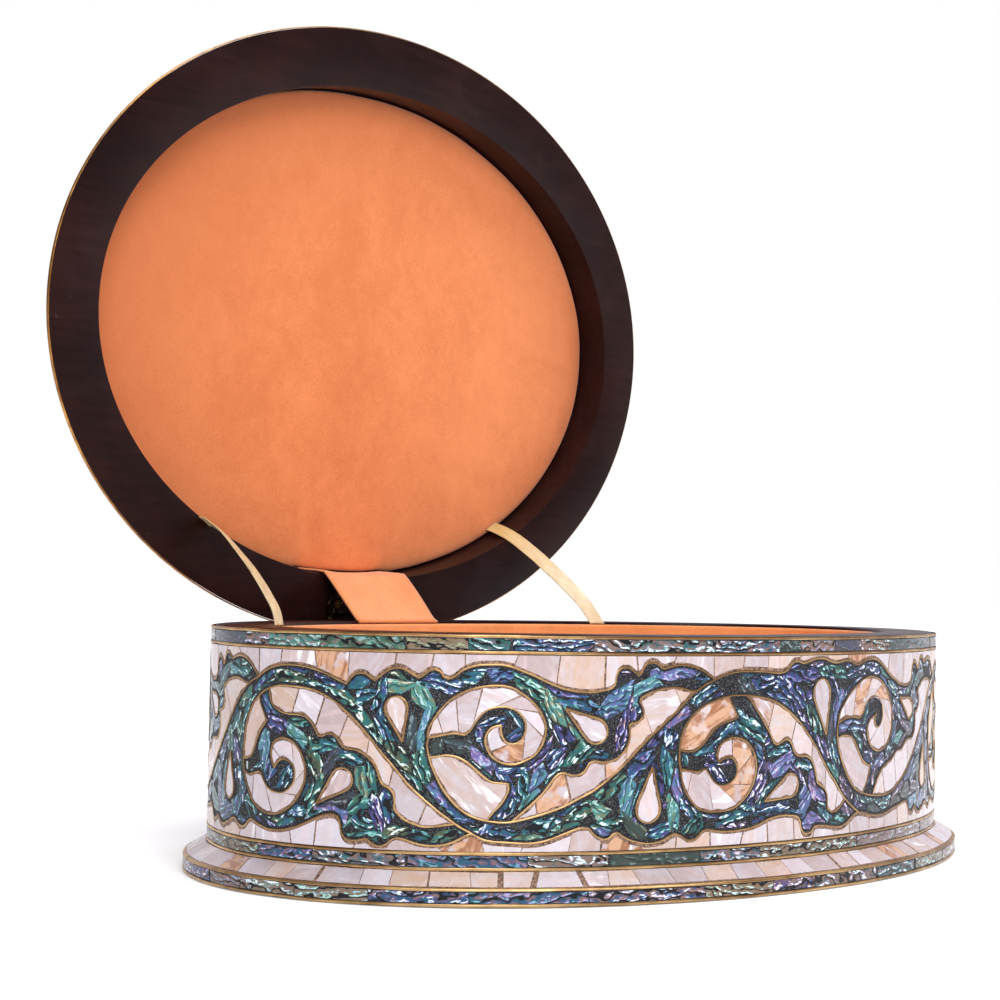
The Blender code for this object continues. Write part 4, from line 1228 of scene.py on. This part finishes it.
def strip_outlines(lines, chance):
    """Outlines of strips that fill the wall between the field's wires, each with its direction."""
    guide = KDTree(sum(len(line) for line in lines))
    ways = []
    for line in lines:
        for index, point in enumerate(line):
            before, after = line[max(0, index - 1)], line[min(len(line) - 1, index + 1)]
            ways.append(math.atan2(after[1] - before[1], after[0] - before[0]))
            guide.insert(((point[0] - CYCLE_FROM) % ROUND, point[1], 0.0), len(ways) - 1)
    guide.balance()
    count = round(ROUND * (FIELD_TOP - FIELD_BOTTOM) / STRIP_ROOM)
    seeds = [(chance.uniform(0, ROUND), chance.uniform(FIELD_BOTTOM, FIELD_TOP)) for _ in range(count)]
    for settling in range(SETTLING + 1):
        last = settling == SETTLING
        nearby = KDTree(3 * len(seeds))
        for number, (along, height) in enumerate(seeds):
            for turn in (-1, 0, 1):
                nearby.insert((along + turn * ROUND, height, 0.0), number)
        nearby.balance()
        outlines = []
        moved = []
        for number, (along, height) in enumerate(seeds):
            way = ways[guide.find((along, height, 0.0))[1]]
            cosine, sine = math.cos(way), math.sin(way)
            half_length = half_width = CELL_HALF
            if last:
                half_length = STRIP_HALF_LENGTH / STRIP_LONG * chance.uniform(*STRIP_LENGTHS)
                half_width = STRIP_HALF_WIDTH * chance.uniform(*STRIP_WIDTHS)
            outline = [
                (-half_length, -half_width), (half_length, -half_width),
                (half_length, half_width), (-half_length, half_width),
            ]
            for place, _, distance in nearby.find_range((along, height, 0.0), NEAR):
                if distance < 1e-6:
                    continue
                run, rise = place[0] - along, place[1] - height
                near_x = (run * cosine + rise * sine) / STRIP_LONG
                near_y = rise * cosine - run * sine
                size = math.hypot(near_x, near_y)
                gap = STRIP_GAP if last else 0.0
                outline = clip(outline, (near_x / size, near_y / size), size / 2 - gap / 2)
                if len(outline) < 3:
                    break
            if len(outline) < 3:
                moved.append((along, height))
                continue
            turned = []
            for x, y in outline:
                x *= STRIP_LONG
                turned.append((along + x * cosine - y * sine, height + x * sine + y * cosine))
            middle = [sum(point[axis] for point in turned) / len(turned) for axis in (0, 1)]
            moved.append((middle[0] % ROUND, min(FIELD_TOP, max(FIELD_BOTTOM, middle[1]))))
            turned = clip(turned, (0.0, 1.0), FIELD_TOP - STRIP_TRIM)
            turned = clip(turned, (0.0, -1.0), -FIELD_BOTTOM - STRIP_TRIM)
            if len(turned) > 2:
                outlines.append((turned, way))
        seeds = moved
    return outlines


strips = Layout(21)
for outline, way in strip_outlines(wire_lines + [upper_edge, lower_edge], random.Random(5)):
    along = sum(point[0] for point in outline) / len(outline)
    height = sum(point[1] for point in outline) / len(outline)
    place = along + CYCLE_FROM
    lowest = height_at(lower_edge, place) - STRIP_MARGIN
    highest = height_at(upper_edge, place) + STRIP_MARGIN
    if lowest < height < highest:
        lean = way + strips.chance.uniform(-0.2, 0.2)
        strips.chip([[(x + CYCLE_FROM, y) for x, y in outline]], STRIP_RISE, lean)

beds = Layout(22)
for line in wire_lines + [upper_edge, lower_edge]:
    beds.wire(line, size=BED_SIZE, rise=BED_RISE)

ground = Layout(23)
ground.chip([[
    (0.0, FIELD_BOTTOM), (ROUND, FIELD_BOTTOM), (ROUND, FIELD_TOP), (0.0, FIELD_TOP),
]], GROUND_RISE, 0.0)

vine_pieces = [
    (ground, "vine_ground", filler, GROUND_THICK, "abalone"),
    (strips, "vine_abalone_strips", abalone, CHIP_THICK, "abalone"),
    (beds, "vine_wire_beds", filler, 0.0, "abalone"),
    (backings, "vine_joint_filler", joint_filler, CHIP_THICK, "mother_of_pearl"),
    (borders, "vine_border_pearl", pearl, CHIP_THICK, "mother_of_pearl"),
    (curls, "vine_curls", pearl, CHIP_THICK, "mother_of_pearl"),
    (leaves, "vine_leaves", pearl, CHIP_THICK, "mother_of_pearl"),
    (drops, "vine_drops", pearl, CHIP_THICK, "mother_of_pearl"),
    (vine_wires, "vine_wires", brass, 0.0, "brass"),
]
for layout, name, surface, thick, material_slot in vine_pieces:
    piece = layout.bend(name, surface, on_wall, layout not in (beds, vine_wires), thick)
    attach(piece, "box")
    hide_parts("pearl_vine_field")


# The bands and hoops round the rim and the foot
# Six brass hoops part the bands: abalone at the rim, above the foot and on the foot's edge, and pearl on
# the foot's bevel. Each band is long strips on filler, with an uneven joint here and there.
HOOP_WAVER = 0.16
HOOP_STEP = 2.0
BAND_SUNK = -0.06
BAND_THICK = 0.001
RIM_GAP_FROM = 383.2
RIM_GAP_TO = 419.8


def hoop_wire(name, level, place, node, start=0.0, finish=None):
    """A brass hoop laid by hand at a level, open at its ends where a start and finish are given."""
    layout = Layout(level)
    closed = finish is None
    finish = ROUND if closed else finish
    count = round((finish - start) / HOOP_STEP)
    line = []
    for step in range(count if closed else count + 1):
        along = start + (finish - start) * step / count
        turn = Vector((math.cos(oval_angle(along)), math.sin(oval_angle(along)), 0.0))
        line.append((along, level + HOOP_WAVER * noise.noise(turn * 9.0 + Vector((0.0, 0.0, level)))))
    layout.wire(line, closed=closed)
    hoop = layout.bend(name, brass, place, False, 0.0)
    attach(hoop, "box")
    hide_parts(node)


hoop_wire("rim_wire", 74.35, on_wall, "wire_rim", RIM_GAP_TO, ROUND + RIM_GAP_FROM)
hoop_wire("field_top_wire", 69.85, on_wall, "wire_field_top")
hoop_wire("field_bottom_wire", 14.05, on_wall, "wire_field_bottom")
hoop_wire("foot_top_wire", 9.75, on_wall, "wire_foot_top")
hoop_wire("foot_edge_wire", 5.10, on_foot, "wire_foot_edge")
hoop_wire("base_wire", 0.75, on_foot, "wire_base")


def band_of_chips(name, surface, ground, place, node, levels, lengths, leans, joints, seed):
    """A row of chips between two levels on a hoop of filler, with joints of uneven width."""
    bottom, top = levels
    chips = Layout(seed)
    chance = chips.chance
    start, lean, joint = 0.0, 0.0, joints[0]
    while start < ROUND - 0.5:
        end = start + chance.uniform(*lengths)
        if ROUND - end < lengths[0]:
            end = ROUND
        next_lean = 0.0 if end == ROUND else chance.uniform(-leans, leans)
        next_joint = joints[0] if chance.random() < 0.7 else chance.uniform(*joints)
        low_trim = chance.uniform(0.10, 0.30)
        high_trim = chance.uniform(0.10, 0.30)
        outline = [
            (start + joint / 2 - lean, bottom + low_trim),
            (end - next_joint / 2 - next_lean, bottom + low_trim),
            (end - next_joint / 2 + next_lean, top - high_trim),
            (start + joint / 2 + lean, top - high_trim),
        ]
        chips.chip([outline], PEARL_RISE, chance.uniform(-0.25, 0.25))
        start, lean, joint = end, next_lean, next_joint
    backing = Layout(seed + 1)
    backing.chip([[(0.0, bottom), (ROUND, bottom), (ROUND, top), (0.0, top)]], BAND_SUNK, 0.0)
    hoop = backing.bend(name + "_filler", ground, place, True, BAND_THICK)
    row = chips.bend(name, surface, place)
    for piece in (hoop, row):
        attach(piece, "box")
        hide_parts(node)


band_of_chips(
    "rim_abalone", band_abalone, filler, on_wall, "abalone_rim_band",
    levels=(70.3, 73.9), lengths=(9.0, 30.0), leans=0.3, joints=(0.25, 1.2), seed=31,
)
band_of_chips(
    "foot_top_abalone", band_abalone, filler, on_wall, "abalone_foot_top_band",
    levels=(10.2, 13.6), lengths=(14.0, 38.0), leans=0.2, joints=(0.25, 1.5), seed=33,
)
band_of_chips(
    "foot_edge_abalone", band_abalone, filler, on_foot, "abalone_foot_band",
    levels=(1.2, 4.65), lengths=(14.0, 36.0), leans=0.3, joints=(0.3, 2.0), seed=35,
)
band_of_chips(
    "foot_bevel_pearl", pearl, joint_filler, on_foot, "pearl_foot_band",
    levels=(5.55, 9.30), lengths=(7.0, 14.0), leans=0.7, joints=(0.22, 1.9), seed=37,
)


# The suede lining and the floor's pad
# The inside of the wall and the floor are lined with peach-orange suede over card, its edge folded over
# at the top, and the floor's pad is slightly stuffed.
LINING_OUT = -0.0187
LINING_IN = -0.0202
LINING_TOP = 0.0740
LINING_BOTTOM = 0.0083


def make_suede(name, dark, light, lit_middle=None):
    """Suede with a short nap brushed this way and that, and painted shade, darker and redder away from a lit
    place, if one is given.
    """
    made, canvas = new_finish(
        name, Roughness=0.95, Sheen_Weight=0.25, Sheen_Roughness=0.5, Specular_IOR_Level=0.15,
    )
    place = canvas.coordinates()
    brushed = place.grain(22.0, 4.0, 0.55, 0.8)
    mottle = place.grain(160.0, 3.0, 0.6)
    nap = place.grain(1500.0, 2.0, 0.6)
    fluff = place.grain(90.0, 2.0).between(0.70, 0.74)
    tone = (brushed * 0.55 + mottle * 0.25 + nap * 0.35).between(0.38, 0.78)
    body = tone.choose(dark, light)
    body = (fluff * 0.12).choose(body, colour(0.55, 0.14, 0.05))
    # Painted shade: the suede darkens and reddens away from its lit middle.
    if lit_middle is not None:
        away = place.add("VectorMath", {"operation": "DISTANCE"}, {0: place, 1: lit_middle}, 1)
        away = away + brushed * 0.03
        body = (away.between(0.070, 0.208) * 0.8).choose(body, colour(0.50, 0.135, 0.045))
    paint_over(made, nap * 0.7 + mottle * 0.5, 0.35, 0.00025, Base_Color=body)
    return made


suede = make_suede("orange_suede", colour(0.70, 0.270, 0.092), colour(0.86, 0.375, 0.150))
lining = oval_form("suede_lining", [
    (LINING_OUT, LINING_BOTTOM),
    (LINING_OUT, LINING_TOP - 0.0004),
    (LINING_OUT - 0.0002, LINING_TOP - 0.0001),
    (LINING_OUT - 0.0007, LINING_TOP),
    (LINING_IN + 0.0004, LINING_TOP - 0.0001),
    (LINING_IN + 0.0001, LINING_TOP - 0.0005),
    (LINING_IN, LINING_TOP - 0.0012),
    (LINING_IN, LINING_BOTTOM),
], suede, hoop=True)
for vert in lining.data.vertices:
    away = Vector((vert.co.x, vert.co.y, 0.0)).normalized()
    vert.co += away * 0.00022 * noise.noise(Vector((vert.co.x * 60, vert.co.y * 60, vert.co.z * 25)))
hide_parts("wall_lining")
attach(lining, "box")

floor_pad = oval_form("suede_floor_pad", [
    (-0.0207, 0.0083),
    (-0.0205, 0.0090),
    (-0.0206, 0.0099),
    (-0.0211, 0.0105),
    (-0.0222, 0.0109),
    (-0.0250, 0.0112),
    (-0.0320, 0.0113),
    (-0.0520, 0.0113),
    (-0.0800, 0.0113),
], suede)
for vert in floor_pad.data.vertices:
    if vert.co.z > 0.0104:
        vert.co.z += 0.0003 * noise.noise(Vector((vert.co.x * 40, vert.co.y * 40, 1.0)))
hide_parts("floor_pad")
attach(floor_pad, "box")


# The lid's wood
# The lid is turned from the same wood, hollowed for its pad, with a broad flat ring that meets the rim.
# Places on the lid are worked out with it closed, and each piece is then swung open about the hinge.
LID_OVERHANG = 0.0085
LID_INNER = -0.0125
LID_RECESS = 0.0145
LID_EDGE = 0.0011
LID_RISE = 0.0270
LID_SHOULDER = 0.0427
LID_ROUNDNESS = 1.6
LID_CROWN = 0.002
LID_CROWN_REACH = 0.040
LID_FLAT_FROM = 0.0827
LID_WOOD_DROP = 0.0016
LID_STEPS = 12
WIRE_WIDE = 0.0004
RING_FACE = HINGE_Z + 0.00015
BARREL_CLEAR = 0.0023
swing_open = (
    Matrix.Translation((0.0, HINGE_Y, HINGE_Z))
    @ Matrix.Rotation(-LID_ANGLE, 4, "X")
    @ Matrix.Translation((0.0, -HINGE_Y, -HINGE_Z))
)


def lid_height(inward):
    """The lid's outside above its ring face, at a distance in from its edge."""
    share = min(1.0, inward / LID_SHOULDER)
    crown = LID_CROWN * min(1.0, max(0.0, (inward - LID_SHOULDER) / LID_CROWN_REACH))
    return LID_EDGE + LID_RISE * (1 - (1 - share) ** LID_ROUNDNESS) + crown


def hang_lid_piece(piece, node):
    """Swing a piece of the closed lid open, and have it ride on the lid in place of its node."""
    piece.data.transform(swing_open)
    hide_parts(node)
    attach(piece, "lid")


wood_edge = WIRE_WIDE + 0.0001
lid_section = [
    (LID_INNER, LID_RECESS),
    (LID_INNER, 0.0007),
    (LID_INNER + 0.0002, 0.0002),
    (LID_INNER + 0.0007, 0.0),
    (LID_OVERHANG - wood_edge, 0.0),
]
for step in range(LID_STEPS + 1):
    inward = wood_edge + (LID_SHOULDER - wood_edge) * step / LID_STEPS
    lid_section.append((LID_OVERHANG - inward, lid_height(inward) - LID_WOOD_DROP))
lid_section.append((LID_OVERHANG - LID_FLAT_FROM, lid_height(LID_FLAT_FROM) - LID_WOOD_DROP))
lid_wood = oval_form("lid_wood", [(outward, RING_FACE + height) for outward, height in lid_section], wood)
cut_block(
    lid_wood,
    (hinge_low.x - POCKET_SPARE, hinge_low.y - POCKET_SPARE, RING_FACE - CUTTER_PAST),
    (hinge_high.x + POCKET_SPARE, HINGE_Y + POCKET_BEHIND, RING_FACE + POCKET_DEEP),
)
bpy.ops.object.select_all(action="DESELECT")
bpy.ops.mesh.primitive_cylinder_add(
    vertices=32, radius=BARREL_CLEAR, depth=hinge_high.x - hinge_low.x + 2 * POCKET_SPARE,
    location=((hinge_low.x + hinge_high.x) / 2, HINGE_Y, HINGE_Z), rotation=(0.0, math.pi / 2, 0.0),
)
groove = bpy.context.object
apply_modifier(lid_wood, "BOOLEAN", operation="DIFFERENCE", solver="EXACT", object=groove)
bpy.data.objects.remove(groove)
hang_lid_piece(lid_wood, "lid_panel")


# The shell on the lid's outside
# The lid's outside is hidden in the photograph. It is finished as the body is, and plainer: rows of pearl
# and abalone chips between brass hoops, from the wire at its edge up to an oval panel at the crown.
LID_TURN = 1000.0
LID_GROUND_FROM = 0.0012
LID_GROUND_TOP = 0.00012
LID_GROUND_BOTTOM = 0.0013
LID_GROUND_STEPS = 14
LID_CHIP_TRIM = 0.1
LID_CHIP_LEAN = 0.6


def on_lid(along, inward, rise):
    """A place on the lid's outside: thousandths of the way round it, and millimetres in from its edge."""
    angle = oval_angle(along / LID_TURN * ROUND)
    outward = LID_OVERHANG - inward / 1000
    steep = (lid_height(inward / 1000 + 0.0005) - lid_height(max(0.0, inward / 1000 - 0.0005))) / 0.001
    lift = rise / 1000 / math.hypot(1.0, steep)
    reach = outward + lift * steep
    height = RING_FACE + lid_height(inward / 1000) + lift
    return Vector(((HALF_LENGTH + reach) * math.cos(angle), (HALF_WIDTH + reach) * math.sin(angle), height))


def oval_run(inward):
    """How far it is round the lid, in millimetres, at a distance in from its edge."""
    long_half = (HALF_LENGTH + LID_OVERHANG) * 1000 - inward
    short_half = max(1.0, (HALF_WIDTH + LID_OVERHANG) * 1000 - inward)
    return math.pi * (3 * (long_half + short_half) - math.sqrt(
        (3 * long_half + short_half) * (long_half + 3 * short_half)
    ))


lid_ground_section = []
for step in range(LID_GROUND_STEPS + 1):
    inward = LID_GROUND_FROM + (LID_FLAT_FROM - LID_GROUND_FROM) * step / LID_GROUND_STEPS
    lid_ground_section.append((LID_OVERHANG - inward, RING_FACE + lid_height(inward)))
lid_ground = oval_form(
    "lid_ground",
    [(outward, height - LID_GROUND_BOTTOM) for outward, height in reversed(lid_ground_section)]
    + [(outward, height - LID_GROUND_TOP) for outward, height in lid_ground_section],
    filler,
)
hang_lid_piece(lid_ground, "pearl_lid_top")
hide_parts("pearl_lid_border")

LID_ROWS = [
    (1.3, 4.6, abalone, (12.0, 26.0)), (5.5, 14.5, pearl, (8.0, 13.0)), (16.1, 24.9, pearl, (9.0, 14.0)),
    (25.1, 33.9, pearl, (9.0, 14.0)), (35.0, 40.6, abalone, (9.0, 16.0)), (41.8, 50.9, pearl, (9.0, 14.0)),
    (51.1, 60.0, pearl, (8.0, 13.0)), (61.2, 71.9, abalone, (5.0, 9.0)), (73.0, 82.2, pearl, (8.0, 13.0)),
]
LID_WIRES = [5.05, 15.35, 34.45, 41.2, 60.6, 72.45, 82.7]
lid_pearl = Layout(41, LID_TURN)
lid_abalone = Layout(42, LID_TURN)
for low, high, surface, lengths in LID_ROWS:
    chips = lid_pearl if surface is pearl else lid_abalone
    chance = chips.chance
    to_turn = LID_TURN / oval_run((low + high) / 2)
    start, lean = 0.0, 0.0
    while start < LID_TURN - 0.5:
        end = start + chance.uniform(*lengths) * to_turn
        if LID_TURN - end < lengths[0] * to_turn:
            end = LID_TURN
        next_lean = 0.0 if end == LID_TURN else chance.uniform(-LID_CHIP_LEAN, LID_CHIP_LEAN) * to_turn
        trim = chance.uniform(*JOINT) * to_turn / 2
        below, above = low + LID_CHIP_TRIM, high - LID_CHIP_TRIM
        chips.chip([[
            (start + trim - lean, below), (end - trim - next_lean, below),
            (end - trim + next_lean, above), (start + trim + lean, above),
        ]], PEARL_RISE, chance.uniform(-0.4, 0.4) + (math.pi / 2 if surface is pearl else 0.0))
        start, lean = end, next_lean
lid_wires = Layout(43, LID_TURN)
for inward in LID_WIRES:
    count = round(oval_run(inward) / HOOP_STEP)
    lid_wires.wire([
        (LID_TURN * step / count, inward + HOOP_WAVER * noise.noise(Vector((step * 0.2, inward, 0.0))))
        for step in range(count)
    ], closed=True)
lid_layouts = [
    (lid_pearl, "lid_pearl_rows", pearl, "pearl_lid_top", "mother_of_pearl"),
    (lid_abalone, "lid_abalone_rows", abalone, "pearl_lid_border", "abalone"),
    (lid_wires, "lid_wires", brass, "wire_lid_inner", "brass"),
]
for layout, name, surface, node, material_slot in lid_layouts:
    flat = layout is not lid_wires
    piece = layout.bend(name, surface, on_lid, flat, CHIP_THICK if flat else 0.0, False)
    hang_lid_piece(piece, node)

CROWN_LONG = 74.6
CROWN_SHORT = 24.6
CROWN_ROW = 4.9
CROWN_SIDES = 48
CROWN_TRIM = 0.2


def on_crown(x, y, rise):
    return Vector((x / 1000, y / 1000, RING_FACE + lid_height(LID_FLAT_FROM) + rise / 1000))


crown = Layout(44)
row = -CROWN_SHORT
while row < CROWN_SHORT:
    start = -CROWN_LONG - crown.chance.uniform(0.0, 8.0)
    while start < CROWN_LONG:
        end = start + crown.chance.uniform(8.0, 17.0)
        left, right = start + CROWN_TRIM, end - CROWN_TRIM
        low, high = row + CROWN_TRIM, row + CROWN_ROW - CROWN_TRIM
        outline = [(left, low), (right, low), (right, high), (left, high)]
        for step in range(CROWN_SIDES):
            angle = 2 * math.pi * step / CROWN_SIDES
            way = Vector((math.cos(angle) / CROWN_LONG, math.sin(angle) / CROWN_SHORT))
            outline = clip(outline, way.normalized(), 1 / way.length) if outline else []
        if len(outline) > 2:
            crown.chip([outline], PEARL_RISE, crown.chance.uniform(-0.2, 0.2))
        start = end
    row += CROWN_ROW
crown_panel = crown.bend("lid_crown_panel", abalone, on_crown, False)
hang_lid_piece(crown_panel, "pearl_lid_top")

lid_edge_wire = oval_form("lid_edge_wire", [
    (LID_OVERHANG - WIRE_WIDE, RING_FACE),
    (LID_OVERHANG - 0.0002, RING_FACE),
    (LID_OVERHANG - 0.00005, RING_FACE + 0.00015),
    (LID_OVERHANG, RING_FACE + 0.0004),
    (LID_OVERHANG, RING_FACE + 0.0008),
    (LID_OVERHANG - 0.0002, RING_FACE + 0.0011),
    (LID_OVERHANG - WIRE_WIDE, RING_FACE + 0.0011),
], make_brass("tarnished_brass", colour(0.60, 0.30, 0.085), colour(0.17, 0.07, 0.02)), hoop=True)
hang_lid_piece(lid_edge_wire, "wire_lid_edge")


# The lid's pad
# A suede pad over board, softly stuffed and glued into the lid's recess with a little room round it. It
# gives way at its foot, where the hinge's flap is tucked in beside it.
PAD_EDGE = -0.0133
PAD_GIVE = 0.0012
PAD_GIVE_FADE = 0.006
PAD_GIVE_BEHIND = 0.070
FLAP_WIDE = 0.044
FLAP_MIDDLE = -0.0035
# Painted shade: the pad is lit brightest about this place, right of its middle and low on the open lid, and
# darker towards its edges.
PAD_LIT_MIDDLE = (0.030, 0.100, 0.136)
pad_suede = make_suede("pad_suede", colour(0.67, 0.194, 0.060), colour(0.84, 0.286, 0.103), PAD_LIT_MIDDLE)
lid_pad = oval_form("suede_lid_pad", [
    (PAD_EDGE - 0.0002, RING_FACE + 0.0142),
    (PAD_EDGE + 0.0001, RING_FACE + 0.0136),
    (PAD_EDGE + 0.0002, RING_FACE + 0.0130),
    (PAD_EDGE, RING_FACE + 0.0125),
    (PAD_EDGE - 0.0005, RING_FACE + 0.0121),
    (PAD_EDGE - 0.0014, RING_FACE + 0.0118),
    (PAD_EDGE - 0.0030, RING_FACE + 0.0116),
    (PAD_EDGE - 0.0070, RING_FACE + 0.0115),
    (PAD_EDGE - 0.0300, RING_FACE + 0.0115),
    (PAD_EDGE - 0.0700, RING_FACE + 0.0115),
], pad_suede)
for vert in lid_pad.data.vertices:
    if vert.co.z < RING_FACE + 0.0135:
        vert.co.z += 0.0004 * noise.noise(Vector((vert.co.x * 30, vert.co.y * 30, 4.0)))
    out = Vector((vert.co.x, vert.co.y, 0.0)).normalized()
    vert.co += out * 0.0003 * noise.noise(out * 5.0)
    past_flap = max(0.0, abs(vert.co.x - FLAP_MIDDLE) - FLAP_WIDE / 2)
    if vert.co.y > PAD_GIVE_BEHIND:
        vert.co.y -= PAD_GIVE * max(0.0, 1 - past_flap / PAD_GIVE_FADE)
hang_lid_piece(lid_pad, "lid_pad")


# The hinge
# A small butt hinge of nearly black brass with lighter spots, its leaves let into the rim and the lid with
# two bright screws each. The carried-over nodes have the right shape and only take these finishes.
hinge_dark_brass, canvas = new_finish("dark_brass", Metallic=1.0)
hinge_place = canvas.coordinates()
# Nearly black brass, with lighter spots where this noise is high.
hinge_spots = hinge_place.grain(420.0, 4.0, 0.65)
hinge_tone = hinge_spots.between(0.55, 0.68).choose(colour(0.050, 0.026, 0.012), colour(0.52, 0.38, 0.20))
paint_over(hinge_dark_brass, hinge_spots, 0.3, 0.0001, Base_Color=hinge_tone, Roughness=hinge_spots * 0.3 + 0.3)
for name in (
    "hinge_leaf_box", "hinge_leaf_lid", "hinge_pin", "hinge_screw_box_left", "hinge_screw_box_right",
    "hinge_screw_lid_left", "hinge_screw_lid_right",
):
    for material_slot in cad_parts[name].material_slots:
        material_slot.material = brass if "screw" in name else hinge_dark_brass


# The flap over the hinge
# A strip of paler suede 44 mm wide hides the hinge. It is tucked in beside the lid's pad and behind the
# top of the wall's lining.
FLAP_THICK = 0.0008
FLAP_CLEAR = 0.0010
FLAP_TUCK = 0.0118
FLAP_SKEW = -0.0047
FLAP_STEPS = 22
flap_suede = make_suede("flap_suede", colour(0.71, 0.240, 0.090), colour(0.87, 0.355, 0.155))


def on_open_lid(x, inward, height):
    """A place on the open lid: how far in from the hinge's line, and how far above its ring face."""
    return swing_open @ Vector((x, HINGE_Y - inward, RING_FACE + height))


def oval_depth(outward, x):
    """How far back the oval reaches at a place along its length."""
    return (HALF_WIDTH + outward) * math.sqrt(1 - (x / (HALF_LENGTH + outward)) ** 2)


flap_columns = []
for step in range(FLAP_STEPS + 1):
    x = FLAP_MIDDLE + FLAP_WIDE * (step / FLAP_STEPS - 0.5)
    recess = HINGE_Y - oval_depth(LID_INNER, x)
    tucked = on_open_lid(x, recess + FLAP_CLEAR, FLAP_TUCK)
    corner = on_open_lid(x, recess + FLAP_CLEAR, 0.0006)
    over = on_open_lid(x, recess + 0.0001, -2.1 * FLAP_CLEAR)
    foot_x = x + FLAP_SKEW
    rim = Vector((foot_x, oval_depth(-0.0177, foot_x), HEIGHT + 0.0008))
    foot = Vector((foot_x, oval_depth(-0.0197, foot_x), LINING_TOP + 0.0006))
    middle = over.lerp(rim, 0.5) + Vector((0.0, 0.0, 0.0006 * math.sin(step * 0.9)))
    flap_columns.append(smooth_line([tucked, corner, over, middle, rim, foot], 0.0018))
middle_column = FLAP_STEPS // 2
shortest = min(len(column) for column in flap_columns)
flap_rows = []
for number in range(shortest):
    share = number / (shortest - 1)
    flap_rows.append([column[round(share * (len(column) - 1))] for column in flap_columns])
lengths = [0.0]
for first, second in zip(flap_rows, flap_rows[1:]):
    lengths.append(lengths[-1] + (second[middle_column] - first[middle_column]).length * 1000)
widths = [FLAP_WIDE * 1000 * step / FLAP_STEPS for step in range(FLAP_STEPS + 1)]
flap = sheet_of_rows("suede_flap", flap_rows, flap_suede, widths, lengths)
apply_modifier(flap, "SOLIDIFY", thickness=FLAP_THICK, offset=0.0)
flap.data.shade_smooth()
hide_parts("hinge_flap")
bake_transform(flap)
lengths[-1] / 1000
